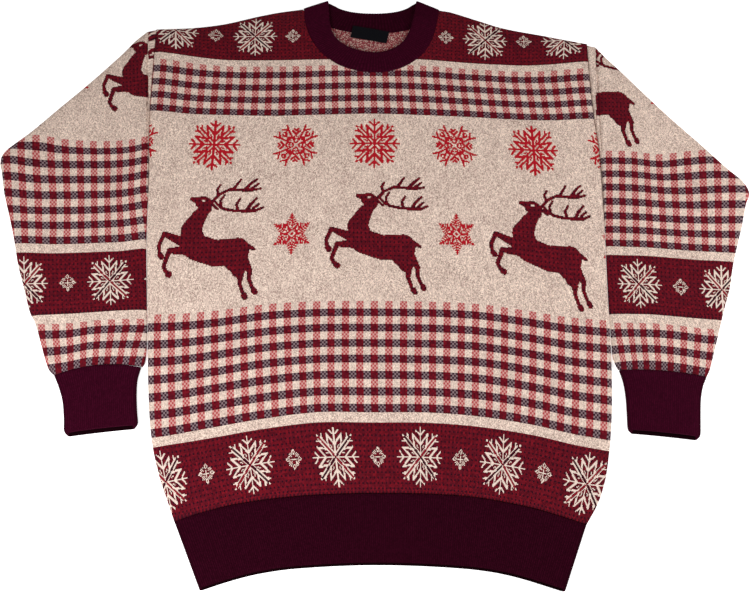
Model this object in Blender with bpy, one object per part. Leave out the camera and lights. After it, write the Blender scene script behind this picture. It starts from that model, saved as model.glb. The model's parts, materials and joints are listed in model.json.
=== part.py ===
"""A jacquard-knit sweater laid flat: back, front, two sleeves and plum ribbed trims.

The garment lies on its back on the plane z = 0, with its hem towards -Y and its
neck towards +Y. Each sewn piece is a wall of cloth of its own. Sizes and places
in the tables are in millimetres; meshes are made in metres.
"""
import math

import bmesh
import bpy

MM = 0.001

# The origin is under the middle of the garment; the tables' y is this much lower.
SHIFT_Y = 1.09
SHARP_ANGLE = math.radians(30)

# ---- driving sizes, in millimetres ------------------------------------------
KNIT_WALL = 2.0        # jacquard knit, front, back and sleeves
RIB_WALL = 2.6         # 1x1 rib, at the top of a rib
RIB_PITCH = 2.5        # from rib to rib
RIB_RELIEF = 0.5       # from the top of a rib to the bottom of a groove
SEAM_GAP = 0.3         # between two sewn pieces
CURVED_SEAM_GAP = 0.4  # the same along the round neck seam
REST_GAP = 0.3         # between two layers that lie on each other
EDGE_ROLL = 2.4        # distance over which a cloth edge rounds over
BODY_CROWN = 2.7       # how far the middle of the front rises over its edges
CROWN_REACH = 38.0     # distance from the edge over which it rises
HEM_REACH = 14.0       # the same above the hem seam, where the cloth blouses
SLEEVE_HOLLOW = 0.6    # between the layers at a sleeve's folds
SLEEVE_CROWN = 2.4
HEM_HOLLOW = 0.8
HEM_CROWN = 1.0
CUFF_HOLLOW = 1.0
CUFF_CROWN = 1.6
NECK_HOLLOW = 0.8
NECK_CROWN = 1.4

# ---- the body's outline -----------------------------------------------------
# (y, x) down to up
LEFT_SIDE = (
    (-290, -213.0), (-271, -221.0), (-246, -231.5), (-220, -240.0), (-194, -246.0),
    (-159, -251.0), (-108, -256.0), (-43, -261.5), (18, -267.0), (94, -271.0),
    (146, -274.5), (194, -277.5), (250, -278.0), (316, -278.0))
RIGHT_SIDE = (
    (-293, 230.0), (-271, 244.0), (-246, 254.0), (-220, 260.0), (-194, 264.5),
    (-159, 268.5), (-102, 272.0), (-43, 273.0), (43, 276.0), (94, 278.0),
    (146, 278.0), (190, 275.0), (243, 273.5), (294.5, 273.5))
# (x, y of the hem seam), left to right
HEM_SEAM = (
    (-213, -290.0), (-189, -282.0), (-148, -272.0), (-79, -263.5), (4, -260.5),
    (98, -263.5), (170, -275.5), (230, -293.0))
# (x, y of the front layer's edge), left to right
HEM_EDGE = (
    (-182, -357.0), (-150, -347.0), (-120, -339.8), (-80, -334.5), (3, -331.0),
    (96, -334.5), (145, -341.5), (203, -358.0))
HEM_BACK_PEEK = 3.0    # how far the back layer shows below the front layer
# (x, y) of each shoulder line, left to right
LEFT_SHOULDER = ((-278, 316.0), (-231, 318.0), (-191, 323.5), (-147, 335.0), (-120, 341.0), (-89, 345.6))
RIGHT_SHOULDER = ((85.5, 344.0), (101, 341.0), (133, 329.5), (167, 317.5), (218, 306.5), (273.5, 294.5))

# ---- the neckband, as stations from ear to ear ------------------------------
# (neck edge x, neck edge y, seam x, seam y)
BAND_FRONT = (
    (-57.5, 355.5, -88.5, 344.0), (-56.5, 341.0, -88.0, 331.0), (-55.0, 324.0, -84.5, 315.0),
    (-50.0, 307.0, -76.5, 295.5), (-38.0, 293.5, -60.5, 275.0), (-19.0, 284.5, -33.5, 258.0),
    (4.0, 281.0, 4.0, 251.5), (24.0, 285.5, 36.0, 258.0), (38.5, 297.0, 62.0, 276.5),
    (47.5, 314.0, 75.5, 299.0), (52.5, 333.0, 81.5, 320.0), (54.5, 343.5, 84.0, 332.0),
    (56.0, 355.5, 85.0, 342.0))
BAND_BACK = (
    (56.0, 355.5, 85.0, 342.0), (50.0, 351.5, 76.0, 331.0), (42.0, 346.5, 62.0, 322.0),
    (27.0, 342.0, 36.0, 313.5), (3.0, 340.0, 3.0, 311.0), (-22.0, 341.5, -31.0, 313.0),
    (-40.0, 346.0, -61.0, 322.0), (-50.0, 351.5, -77.0, 332.0), (-57.5, 355.5, -88.5, 344.0))
BAND_ROWS = (0.0, 0.08, 0.92, 1.0)     # from the seam to the neck edge
BAND_DROP = (0.9, 0.0, 0.0, 0.9)       # how far each row rounds down

# ---- the sleeves, as rings from the cuff to the armhole ---------------------
# (outer fold x, outer fold y, inner fold y, gap to the body, bow)
LEFT_RINGS = (
    (-360.0, -131.5, -121.5, 5.8, 7.0), (-366.0, -126.0, -117.0, 3.4, 7.0),
    (-372.0, -114.0, -108.0, 1.8, 6.0), (-378.0, -98.0, -95.0, 0.8, 4.0),
    (-388.0, -72.0, -76.0, 0.6, 0.0), (-396.5, -57.0, -60.0, 0.6, -2.0),
    (-406.5, -29.0, -40.0, 0.6, -3.0), (-417.0, 0.0, -18.0, 0.6, -4.0),
    (-425.5, 31.0, 4.0, 0.6, -4.0), (-435.0, 61.0, 25.0, 0.6, -4.0),
    (-445.0, 91.0, 42.0, 0.6, -3.0), (-450.5, 115.0, 53.0, 0.6, -2.0),
    (-454.5, 131.0, 60.0, 0.6, -1.0), (-449.5, 146.0, 64.0, 0.6, 0.0),
    (-421.5, 171.5, 68.0, 0.6, 0.0), (-390.0, 204.0, 72.0, 0.6, 0.0),
    (-357.0, 237.5, 76.0, 0.6, 0.0), (-320.5, 277.5, 80.0, 0.6, 0.0),
    (-303.0, 299.0, 83.0, 0.6, 0.0), (-289.0, 312.5, 85.0, 0.6, 0.0))
RIGHT_RINGS = (
    (377.5, -133.0, -125.0, 7.4, 3.0), (382.0, -125.0, -119.0, 4.4, 3.0),
    (386.5, -113.0, -110.0, 1.6, 3.0), (396.0, -86.0, -93.0, 0.8, 2.0),
    (406.0, -57.0, -72.0, 0.6, 0.0), (416.5, -29.0, -50.0, 0.6, -2.0),
    (424.0, 0.0, -28.0, 0.6, -3.0), (432.5, 25.0, -9.0, 0.6, -4.0),
    (441.0, 50.0, 8.0, 0.6, -4.0), (448.5, 75.0, 23.0, 0.6, -3.0),
    (454.5, 90.0, 32.0, 0.6, -2.0), (448.0, 106.0, 37.0, 0.6, -1.0),
    (431.0, 123.0, 41.0, 0.6, 0.0), (402.0, 155.0, 46.0, 0.6, 0.0),
    (371.0, 188.0, 50.0, 0.6, 0.0), (342.0, 221.0, 53.0, 0.6, 0.0),
    (313.5, 254.5, 56.0, 0.6, 0.0), (297.5, 272.5, 59.0, 0.6, 0.0),
    (286.5, 289.0, 61.0, 0.6, 0.0))
LEFT_ARMHOLE = (314.8, 86.0)      # y of the shoulder end, y of the underarm
RIGHT_ARMHOLE = (292.5, 62.0)

# ---- the cuffs, as rings from the seam to the mouth -------------------------
# (outer x, outer y, inner x, inner y, bow)
LEFT_CUFF = (
    (-359.5, -132.2, -262.0, -122.3, 7.0), (-353.0, -145.0, -265.0, -137.0, 6.0),
    (-347.0, -161.0, -264.5, -155.0, 4.0), (-343.5, -180.0, -262.5, -172.0, 2.0),
    (-342.0, -192.5, -260.8, -183.5, 1.0), (-338.5, -197.5, -263.5, -189.0, 0.5))
RIGHT_CUFF = (
    (377.0, -133.8, 279.0, -125.8, 3.0), (371.5, -145.0, 282.5, -140.0, 2.0),
    (367.5, -161.0, 283.8, -156.0, 1.5), (365.0, -181.0, 283.5, -175.0, 1.0),
    (363.0, -197.0, 283.2, -189.5, 0.5), (360.0, -201.5, 286.0, -194.0, 0.5))
CUFF_BACK_PEEK = 2.0
CUFF_MOUTH = 1.4       # how much the mouth opens

# ---- the largest folds of the upper layer -----------------------------------
# (start x, start y, end x, end y, half width, height)
BODY_FOLDS = (
    (-64, -262, -58, -70, 11, 0.7), (77, -262, 72, -60, 11, 0.7),
    (-262, 40, -176, -30, 15, 0.8), (270, 30, 190, -36, 15, 0.8),
    (-250, -190, -190, -240, 12, 0.7), (262, -185, 196, -240, 12, 0.7),
    (-200, 296, -120, 240, 16, 0.6), (196, 290, 128, 236, 16, 0.6))
SLEEVE_FOLDS = (
    (-448, 128, -340, 96, 12, 0.9), (448, 90, 344, 66, 12, 0.9),
    (-376, -96, -312, -70, 9, 0.8), (392, -96, 324, -74, 9, 0.8),
    (-300, 288, -318, 150, 13, 0.8), (296, 262, 312, 130, 13, 0.8),
    (-398, -54, -330, -36, 9, 0.7))

LABEL = {"centre": (-4.0, 308.5), "size": (47.0, 17.0), "turn": -11.0, "wall": 0.8,
         "bottom": 2.95, "wave": 0.35}

PLUM = ((0.034, 0.003, 0.010, 1.0), 0.86)
CREAM_AND_RED = ((0.42, 0.25, 0.20, 1.0), 0.85)
CREAM = ((0.58, 0.47, 0.39, 1.0), 0.85)
BLACK_TAPE = ((0.012, 0.012, 0.013, 1.0), 0.55)


# ---- small helpers ----------------------------------------------------------
def clear_scene():
    for item in list(bpy.data.objects):
        bpy.data.objects.remove(item, do_unlink=True)


def smooth_at(keys, values, key):
    """The value of a smooth curve through (key, value) pairs, keys ascending."""
    key = min(max(key, keys[0]), keys[-1])
    i = 0
    while i < len(keys) - 2 and key > keys[i + 1]:
        i += 1

    def slope(j):
        low, high = max(j - 1, 0), min(j + 1, len(keys) - 1)
        return (values[high] - values[low]) / (keys[high] - keys[low])

    span = keys[i + 1] - keys[i]
    t = (key - keys[i]) / span
    return ((2 * t ** 3 - 3 * t ** 2 + 1) * values[i] + (t ** 3 - 2 * t ** 2 + t) * span * slope(i)
            + (3 * t ** 2 - 2 * t ** 3) * values[i + 1] + (t ** 3 - t ** 2) * span * slope(i + 1))


def table_at(table, key):
    """The second column of a two-column table at a key of its first column."""
    return smooth_at([row[0] for row in table], [row[1] for row in table], key)


def row_at(table, part):
    """All columns of a table at a part, 0 to 1, of its length."""
    keys = list(range(len(table)))
    return [smooth_at(keys, [row[c] for row in table], part * keys[-1]) for c in range(len(table[0]))]


def mix(a, b, t):
    return tuple(p + (q - p) * t for p, q in zip(a, b))


def unit(x, y):
    length = math.hypot(x, y)
    return (x / length, y / length)


def fold_lift(folds, x, y):
    """How far the long soft folds raise the cloth at a place."""
    lift = 0.0
    for x0, y0, x1, y1, half_width, height in folds:
        run_x, run_y = x1 - x0, y1 - y0
        t = ((x - x0) * run_x + (y - y0) * run_y) / (run_x ** 2 + run_y ** 2)
        t = min(max(t, 0.0), 1.0)
        away = math.hypot(x - x0 - t * run_x, y - y0 - t * run_y)
        lift += height * math.exp(-(away / half_width) ** 2)
    return lift


def add_piece(name, points, faces, finish):
    """One closed solid, its faces turned outwards, with its own material."""
    mesh = bpy.data.meshes.new(name)
    mesh.from_pydata([(x * MM, (y + SHIFT_Y) * MM, z * MM) for x, y, z in points], [], faces)
    work = bmesh.new()
    work.from_mesh(mesh)
    bmesh.ops.recalc_face_normals(work, faces=work.faces)
    work.to_mesh(mesh)
    work.free()
    mesh.shade_smooth()
    mesh.set_sharp_from_angle(angle=SHARP_ANGLE)
    colour, roughness = finish
    material = bpy.data.materials.new(name)
    material.use_nodes = True
    shader = material.node_tree.nodes["Principled BSDF"]
    shader.inputs["Base Color"].default_value = colour
    shader.inputs["Roughness"].default_value = roughness
    shader.inputs["Metallic"].default_value = 0.0
    mesh.materials.append(material)
    piece = bpy.data.objects.new(name, mesh)
    bpy.context.scene.collection.objects.link(piece)
    return piece


# ---- rings: the walls of every tube -----------------------------------------
def ring_faces(starts, count):
    """Quads between neighbouring closed loops of the same number of points."""
    faces = []
    for low, high in zip(starts, starts[1:]):
        for i in range(count):
            j = (i + 1) % count
            faces.append((low + i, low + j, high + j, high + i))
    return faces


def zip_rim(outer_start, outer_marks, inner_start, inner_marks):
    """Triangles between an outer and an inner closed loop, paired by their marks."""
    faces = []
    n_out, n_in = len(outer_marks), len(inner_marks)
    i = j = 0
    while i < n_out or j < n_in:
        next_out = outer_marks[i + 1] if i + 1 < n_out else 1.0
        next_in = inner_marks[j + 1] if j + 1 < n_in else 1.0
        a, b = outer_start + i % n_out, inner_start + j % n_in
        if j >= n_in or (i < n_out and next_out <= next_in):
            faces.append((a, outer_start + (i + 1) % n_out, b))
            i += 1
        else:
            faces.append((a, inner_start + (j + 1) % n_in, b))
            j += 1
    return faces


def add_tube(name, outer, outer_marks, inner, inner_marks, finish):
    """A wall between two skins of closed loops, open at its first and last loop."""
    points = [p for loop in outer for p in loop] + [p for loop in inner for p in loop]
    n_out, n_in = len(outer_marks), len(inner_marks)
    outer_starts = [k * n_out for k in range(len(outer))]
    inner_base = len(outer) * n_out
    inner_starts = [inner_base + k * n_in for k in range(len(inner))]
    faces = ring_faces(outer_starts, n_out) + ring_faces(inner_starts, n_in)
    for end in (0, -1):
        faces += zip_rim(outer_starts[end], outer_marks, inner_starts[end], inner_marks)
    return add_piece(name, points, faces, finish)


# Where the loop of a flattened tube runs: over the top layer from its first fold
# to its second, round that fold, back along the bottom layer and round the first.
TOP_SHARE = 0.46
FOLD_SHARE = 0.04


def flat_marks(top_count, bottom_count, fold_count):
    """(place, amount) pairs round a flattened tube, and the mark of each."""
    places, marks = [], []
    for i in range(top_count + 1):
        places.append(("top", i / top_count))
        marks.append(TOP_SHARE * i / top_count)
    for i in range(1, fold_count):
        places.append(("second fold", i / fold_count))
        marks.append(TOP_SHARE + FOLD_SHARE * i / fold_count)
    for i in range(bottom_count + 1):
        places.append(("bottom", 1.0 - i / bottom_count))
        marks.append(0.5 + TOP_SHARE * i / bottom_count)
    for i in range(1, fold_count):
        places.append(("first fold", i / fold_count))
        marks.append(0.5 + TOP_SHARE + FOLD_SHARE * i / fold_count)
    return places, marks


def flat_loop(places, top_path, bottom_path, radius, inset, rise, rib=0.0):
    """One closed loop of a flattened tube.

    The paths give (x, y) for 0 to 1 from the first fold to the second. The tube
    is twice the radius high at its folds; rise gives what the top layer adds.
    """
    first, last = top_path(0.0), top_path(1.0)
    length = math.hypot(last[0] - first[0], last[1] - first[1])
    end = radius / length
    reach = radius - inset
    loop = []
    for i, (place, amount) in enumerate(places):
        if place == "top":
            x, y = top_path(end + amount * (1 - 2 * end))
            ridge = 0.0 if amount in (0.0, 1.0) else (0.0 if i % 2 else -rib)
            loop.append((x, y, radius + reach + rise(x, y, amount) + ridge))
        elif place == "bottom":
            x, y = bottom_path(end + amount * (1 - 2 * end))
            loop.append((x, y, inset))
        else:
            at_last = place == "second fold"
            turn = math.pi * amount if at_last else math.pi * (1 - amount)
            inside = 1 - end if at_last else end
            low = (1 - math.cos(turn)) / 2
            centre = mix(top_path(inside), bottom_path(inside), low)
            step = 0.02 if at_last else -0.02
            tip, back = top_path(inside), top_path(inside - step)
            out = unit(tip[0] - back[0], tip[1] - back[1])
            away = reach * math.sin(turn)
            loop.append((centre[0] + out[0] * away, centre[1] + out[1] * away,
                         radius + reach * math.cos(turn)))
    return loop


def bowed_path(first, last, bow, drop=(0.0, 0.0)):
    """A shallow arc from one fold to the other."""
    along = unit(last[0] - first[0], last[1] - first[1])
    side = (-along[1], along[0])

    def path(t):
        x, y = mix(first, last, t)
        lift = 4 * bow * t * (1 - t)
        return (x + side[0] * lift + drop[0], y + side[1] * lift + drop[1])
    return path


def mirrored(loops, flip):
    return [[(x * flip, y, z) for x, y, z in loop] for loop in loops]


# ---- the body ---------------------------------------------------------------
def left_x(y):
    return table_at(LEFT_SIDE, y)


def right_x(y):
    return table_at(RIGHT_SIDE, y)


def shoulder_y(x):
    """Height of the shoulder line, carried straight across the neck."""
    if x < LEFT_SHOULDER[-1][0]:
        return table_at(LEFT_SHOULDER, x)
    if x > RIGHT_SHOULDER[0][0]:
        return table_at(RIGHT_SHOULDER, x)
    t = (x - LEFT_SHOULDER[-1][0]) / (RIGHT_SHOULDER[0][0] - LEFT_SHOULDER[-1][0])
    return LEFT_SHOULDER[-1][1] + t * (RIGHT_SHOULDER[0][1] - LEFT_SHOULDER[-1][1])


def neck_seam(stations, part):
    """A point of the neckline, a seam's gap outside the band."""
    edge_x, edge_y, seam_x, seam_y = row_at(stations, part)
    out = unit(seam_x - edge_x, seam_y - edge_y)
    return (seam_x + out[0] * CURVED_SEAM_GAP, seam_y + out[1] * CURVED_SEAM_GAP)


NECK_FROM, NECK_TO = 0.27, 0.70   # the share of the top edge that the neckline takes


def top_edge(u, stations):
    """The upper edge of a body panel: shoulder, neckline, shoulder."""
    if u < NECK_FROM:
        left, right = LEFT_SHOULDER[0][0], neck_seam(stations, 0.0)[0]
        x = left + (right - left) * u / NECK_FROM
        return (x, table_at(LEFT_SHOULDER, x))
    if u > NECK_TO:
        left, right = neck_seam(stations, 1.0)[0], RIGHT_SHOULDER[-1][0]
        x = left + (right - left) * (u - NECK_TO) / (1 - NECK_TO)
        return (x, table_at(RIGHT_SHOULDER, x))
    return neck_seam(stations, (u - NECK_FROM) / (NECK_TO - NECK_FROM))


def bottom_edge(u):
    x = HEM_SEAM[0][0] + (HEM_SEAM[-1][0] - HEM_SEAM[0][0]) * u
    return (x, table_at(HEM_SEAM, x))


def side_edge(table, v):
    y = table[0][0] + (table[-1][0] - table[0][0]) * v
    return (table_at(table, y), y)


def body_point(u, v, stations):
    """A point of the body's plan, spanned between its four edges."""
    low, high = bottom_edge(u), top_edge(u, stations)
    left, right = side_edge(LEFT_SIDE, v), side_edge(RIGHT_SIDE, v)
    corners = mix(mix(bottom_edge(0.0), bottom_edge(1.0), u),
                  mix(top_edge(0.0, stations), top_edge(1.0, stations), u), v)
    return tuple(low[c] * (1 - v) + high[c] * v + left[c] * (1 - u) + right[c] * u - corners[c]
                 for c in range(2))


def swell(distance, reach):
    t = min(max(distance / reach, 0.0), 1.0)
    return 1 - (1 - t) ** 2


def front_height(x, y, away):
    """Top of the front panel; away is the distance to its nearest lying edge."""
    crown = min(swell(x - left_x(y), CROWN_REACH), swell(right_x(y) - x, CROWN_REACH),
                swell(shoulder_y(x) - y, CROWN_REACH),
                swell(y - table_at(HEM_SEAM, x), HEM_REACH))
    roll = min(away / EDGE_ROLL, 1.0)
    wall = KNIT_WALL * (0.35 + 0.65 * math.sqrt(1 - (1 - roll) ** 2))
    return KNIT_WALL + REST_GAP + wall + crown * (BODY_CROWN + fold_lift(BODY_FOLDS, x, y))


# Where the rows and columns of a body panel run, close together beside its edges.
SIDE_COLUMNS = (0.0, 0.0018, 0.0048, 0.02, 0.045, 0.075, 0.105, 0.135, 0.17, 0.205, 0.24)
BODY_ROWS = (0.0, 0.0016, 0.0042, 0.018, 0.04, 0.07, 0.11, 0.16, 0.24, 0.33, 0.43, 0.53,
             0.60, 0.66, 0.72, 0.78, 0.84, 0.90, 0.95, 0.98, 0.9958, 0.9984, 1.0)
NECK_COLUMNS = 32


def body_columns():
    neck = [NECK_FROM + (NECK_TO - NECK_FROM) * i / NECK_COLUMNS for i in range(NECK_COLUMNS + 1)]
    return list(SIDE_COLUMNS) + neck + [1 - u for u in reversed(SIDE_COLUMNS)]


def add_front_panel():
    columns, rows = body_columns(), BODY_ROWS
    top, under = [], []
    for v in rows:
        for u in columns:
            x, y = body_point(u, v, BAND_FRONT)
            at_neck = NECK_FROM <= u <= NECK_TO
            away = min(x - left_x(y), right_x(y) - x, y - table_at(HEM_SEAM, x))
            if not at_neck:
                away = min(away, shoulder_y(x) - y)
            away = max(away, 0.0)
            height = front_height(x, y, away)
            top.append((x, y, height))
            full = front_height(x, y, EDGE_ROLL)
            under.append((x, y, full - KNIT_WALL))
    across, up = len(columns), len(rows)
    faces = []
    for j in range(up - 1):
        for i in range(across - 1):
            a, b, c, d = (j * across + i, j * across + i + 1,
                          (j + 1) * across + i + 1, (j + 1) * across + i)
            faces.append((a, b, c, d))
            faces.append(tuple(k + len(top) for k in (d, c, b, a)))
    border = [i for i in range(across)]
    border += [j * across + across - 1 for j in range(1, up)]
    border += [(up - 1) * across + i for i in range(across - 2, -1, -1)]
    border += [j * across for j in range(up - 2, 0, -1)]
    for a, b in zip(border, border[1:] + border[:1]):
        faces.append((b, a, a + len(top), b + len(top)))
    return add_piece("front_panel", top + under, faces, CREAM_AND_RED)


SMALL_STEPS = (0.0018, 1 - 0.0018, 0.0016, 0.9984)   # too close together for the back's edge


def back_outline():
    """The back panel's edge, once round."""
    columns = [u for u in body_columns() if u not in SMALL_STEPS]
    rows = [v for v in BODY_ROWS if v not in SMALL_STEPS]
    neckline = BAND_BACK[::-1]
    loop = [bottom_edge(u) for u in columns[:-1]]
    loop += [side_edge(RIGHT_SIDE, v) for v in rows[:-1]]
    loop += [top_edge(u, neckline) for u in columns[:0:-1]]
    loop += [side_edge(LEFT_SIDE, v) for v in rows[:0:-1]]
    return loop


def inset_loop(loop, distance):
    """The loop moved inwards, to its left as it runs."""
    moved = []
    for i, (x, y) in enumerate(loop):
        before, after = loop[i - 1], loop[(i + 1) % len(loop)]
        along = unit(after[0] - before[0], after[1] - before[1])
        moved.append((x - along[1] * distance, y + along[0] * distance))
    return moved


def add_back_panel():
    outline = back_outline()
    layers = ((inset_loop(outline, 1.1), 0.0), (outline, 0.9), (outline, KNIT_WALL))
    points = [(x, y, z) for loop, z in layers for x, y in loop]
    count = len(outline)
    faces = ring_faces([0, count, 2 * count], count)
    faces.append(tuple(range(count)))
    faces.append(tuple(range(2 * count, 3 * count)))
    return add_piece("back_panel", points, faces, CREAM)


# ---- hem rib ----------------------------------------------------------------
HEM_ROWS = (0.0, 0.04, 0.94, 1.0)
HEM_ROUND = (0.7, 0.0, 0.0, 0.6)     # how far each row rounds down
HEM_RIBS = 184


def hem_path(part, drop):
    """A row of the hem rib, from its left fold to its right one."""
    def path(t):
        top_x = HEM_SEAM[0][0] + (HEM_SEAM[-1][0] - HEM_SEAM[0][0]) * t
        low_x = HEM_EDGE[0][0] + (HEM_EDGE[-1][0] - HEM_EDGE[0][0]) * t
        top = (top_x, table_at(HEM_SEAM, top_x) - SEAM_GAP)
        low = (low_x, table_at(HEM_EDGE, low_x))
        x, y = mix(top, low, part)
        return (x, y - drop * part)
    return path


def add_hem_rib():
    radius = RIB_WALL + HEM_HOLLOW / 2
    ribbed, ribbed_marks = flat_marks(2 * HEM_RIBS, 20, 5)
    plain, plain_marks = flat_marks(46, 20, 5)
    outer, inner = [], []
    for part, drop in zip(HEM_ROWS, HEM_ROUND):
        top, bottom = hem_path(part, 0.0), hem_path(part, HEM_BACK_PEEK)

        def rise(x, y, amount, fall=0.0):
            return HEM_CROWN * (1 - (2 * amount - 1) ** 6) - fall

        outer.append(flat_loop(ribbed, top, bottom, radius, 0.0,
                               lambda x, y, a, d=drop: rise(x, y, a, d), RIB_RELIEF))
        inner.append(flat_loop(plain, top, bottom, radius, RIB_WALL, rise))
    return add_tube("hem_rib", outer, ribbed_marks, inner, plain_marks, PLUM)


# ---- cuffs ------------------------------------------------------------------
CUFF_ROUND = (0.7, 0.0, 0.0, 0.0, 0.0, 0.6)


def add_cuff(name, rings, flip):
    """A cuff, built on the left and flipped across for the right."""
    radius = RIB_WALL + CUFF_HOLLOW / 2
    first = rings[1]
    ribs = round(math.hypot(first[0] - first[2], first[1] - first[3]) / RIB_PITCH)
    ribbed, ribbed_marks = flat_marks(2 * ribs, 12, 5)
    plain, plain_marks = flat_marks(12, 12, 5)
    outer, inner = [], []
    for k, (out_x, out_y, in_x, in_y, bow) in enumerate(rings):
        part = k / (len(rings) - 1)
        ends = ((out_x * flip, out_y), (in_x * flip, in_y))
        top = bowed_path(ends[0], ends[1], bow)
        bottom = bowed_path(ends[0], ends[1], bow, (0.0, -CUFF_BACK_PEEK * part))
        crown = CUFF_CROWN + CUFF_MOUTH * part

        def rise(x, y, amount, top_crown=crown, fall=0.0):
            return top_crown * (1 - (2 * amount - 1) ** 4) - fall

        outer.append(flat_loop(ribbed, top, bottom, radius, 0.0,
                               lambda x, y, a, c=crown, d=CUFF_ROUND[k]: rise(x, y, a, c, d),
                               RIB_RELIEF))
        inner.append(flat_loop(plain, top, bottom, radius, RIB_WALL,
                               lambda x, y, a, c=crown: rise(x, y, a, c)))
    return add_tube(name, mirrored(outer, flip), ribbed_marks,
                    mirrored(inner, flip), plain_marks, PLUM)


# ---- sleeves ----------------------------------------------------------------
def add_sleeve(name, rings, armhole, side_table, flip):
    """A sleeve, built on the left and flipped across for the right."""
    radius = KNIT_WALL + SLEEVE_HOLLOW / 2
    places, marks = flat_marks(12, 9, 4)
    shoulder_end, underarm = armhole

    def body_x(y):
        return table_at(side_table, y) * flip

    def armhole_path(t):
        y = shoulder_end + (underarm - shoulder_end) * t
        return (body_x(y) - CURVED_SEAM_GAP, y)

    paths = []
    for out_x, out_y, in_y, gap, bow in rings:
        ends = ((out_x * flip, out_y), (body_x(in_y) - gap, in_y))
        paths.append((bowed_path(ends[0], ends[1], bow), SLEEVE_CROWN))
    paths[-1] = (paths[-1][0], 0.6)                 # the valley beside the armhole seam
    paths.append((armhole_path, 1.0))
    paths[0] = (paths[0][0], 1.2)                   # gathered down to the cuff seam

    outer, inner = [], []
    for path, crown in paths:
        def rise(x, y, amount, top=crown):
            shape = 1 - (2 * amount - 1) ** 4
            return shape * (top + fold_lift(SLEEVE_FOLDS, x * flip, y) * top / SLEEVE_CROWN)

        outer.append(flat_loop(places, path, path, radius, 0.0, rise))
        inner.append(flat_loop(places, path, path, radius, KNIT_WALL, rise))
    return add_tube(name, mirrored(outer, flip), marks, mirrored(inner, flip), marks,
                    CREAM_AND_RED)


# ---- neckband ---------------------------------------------------------------
BAND_RIBS = 104
EAR_STEPS = 5


def band_stations(front_count):
    """Stations once round the band: (table row, height of the middle, fold push)."""
    radius = RIB_WALL / 2 + NECK_HOLLOW / 2
    low, high = RIB_WALL / 2, RIB_WALL / 2 + 2 * radius
    stations, marks = [], []

    def rise(t):
        return NECK_CROWN * (1 - (2 * t - 1) ** 4)

    for i in range(front_count + 1):
        t = i / front_count
        stations.append((row_at(BAND_FRONT, t), high + rise(t), 0.0, 90.0))
        marks.append(0.55 * t)
    for i in range(1, EAR_STEPS):
        turn = 90.0 - 180.0 * i / EAR_STEPS
        stations.append((row_at(BAND_FRONT, 1.0), low + radius, radius, turn))
        marks.append(0.55 + 0.03 * i / EAR_STEPS)
    back_count = 24
    for i in range(back_count + 1):
        t = i / back_count
        stations.append((row_at(BAND_BACK, t), low, 0.0, -90.0))
        marks.append(0.58 + 0.38 * t)
    for i in range(1, EAR_STEPS):
        turn = -90.0 + 180.0 * i / EAR_STEPS
        stations.append((row_at(BAND_FRONT, 0.0), low + radius, radius, turn))
        marks.append(0.96 + 0.04 * i / EAR_STEPS)
    return stations, marks


def band_loop(stations, across, offset, rib, drop):
    """One loop round the band at a part of its width, offset from its middle."""
    loop = []
    for i, ((edge_x, edge_y, seam_x, seam_y), height, radius, turn) in enumerate(stations):
        x, y = mix((seam_x, seam_y), (edge_x, edge_y), across)
        side = unit(seam_y - edge_y, edge_x - seam_x)
        out = side if side[1] > 0 else (-side[0], -side[1])
        angle = math.radians(turn)
        reach = radius + offset
        ridge = -rib if (radius == 0.0 and turn > 0 and i % 2) else 0.0
        if radius == 0.0:
            loop.append((x, y, height + (offset + ridge - drop) * math.sin(angle)))
        else:
            loop.append((x + out[0] * reach * math.cos(angle), y + out[1] * reach * math.cos(angle),
                         height + (reach - drop) * math.sin(angle)))
    return loop


def add_neckband():
    ribbed, ribbed_marks = band_stations(2 * BAND_RIBS)
    plain, plain_marks = band_stations(26)
    outer, inner = [], []
    for across, drop in zip(BAND_ROWS, BAND_DROP):
        outer.append(band_loop(ribbed, across, RIB_WALL / 2, RIB_RELIEF, drop))
        inner.append(band_loop(plain, across, -RIB_WALL / 2, 0.0, 0.0))
    return add_tube("neckband", outer, ribbed_marks, inner, plain_marks, PLUM)


# ---- neck label -------------------------------------------------------------
def add_neck_label():
    """A folded tape sewn flat over the back neck seam."""
    columns, rows = 10, 3
    turn = math.radians(LABEL["turn"])
    top, under = [], []
    for j in range(rows + 1):
        for i in range(columns + 1):
            along = (i / columns - 0.5) * LABEL["size"][0]
            up = (j / rows - 0.5) * LABEL["size"][1]
            x = LABEL["centre"][0] + along * math.cos(turn) - up * math.sin(turn)
            y = LABEL["centre"][1] + along * math.sin(turn) + up * math.cos(turn)
            lift = LABEL["wave"] * (1 - math.cos(2 * math.pi * i / columns)) / 2
            under.append((x, y, LABEL["bottom"] + lift))
            top.append((x, y, LABEL["bottom"] + lift + LABEL["wall"]))
    across = columns + 1
    faces = []
    for j in range(rows):
        for i in range(columns):
            quad = (j * across + i, j * across + i + 1, (j + 1) * across + i + 1, (j + 1) * across + i)
            faces.append(quad)
            faces.append(tuple(k + len(top) for k in reversed(quad)))
    border = list(range(across)) + [j * across + columns for j in range(1, rows + 1)]
    border += [rows * across + i for i in range(columns - 1, -1, -1)]
    border += [j * across for j in range(rows - 1, 0, -1)]
    for a, b in zip(border, border[1:] + border[:1]):
        faces.append((b, a, a + len(top), b + len(top)))
    return add_piece("neck_label", top + under, faces, BLACK_TAPE)


def main():
    clear_scene()
    add_back_panel()
    add_front_panel()
    add_sleeve("sleeve_left", LEFT_RINGS, LEFT_ARMHOLE, LEFT_SIDE, 1)
    add_sleeve("sleeve_right", RIGHT_RINGS, RIGHT_ARMHOLE, RIGHT_SIDE, -1)
    add_cuff("cuff_left", LEFT_CUFF, 1)
    add_cuff("cuff_right", RIGHT_CUFF, -1)
    add_hem_rib()
    add_neckband()
    add_neck_label()


main()
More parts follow.
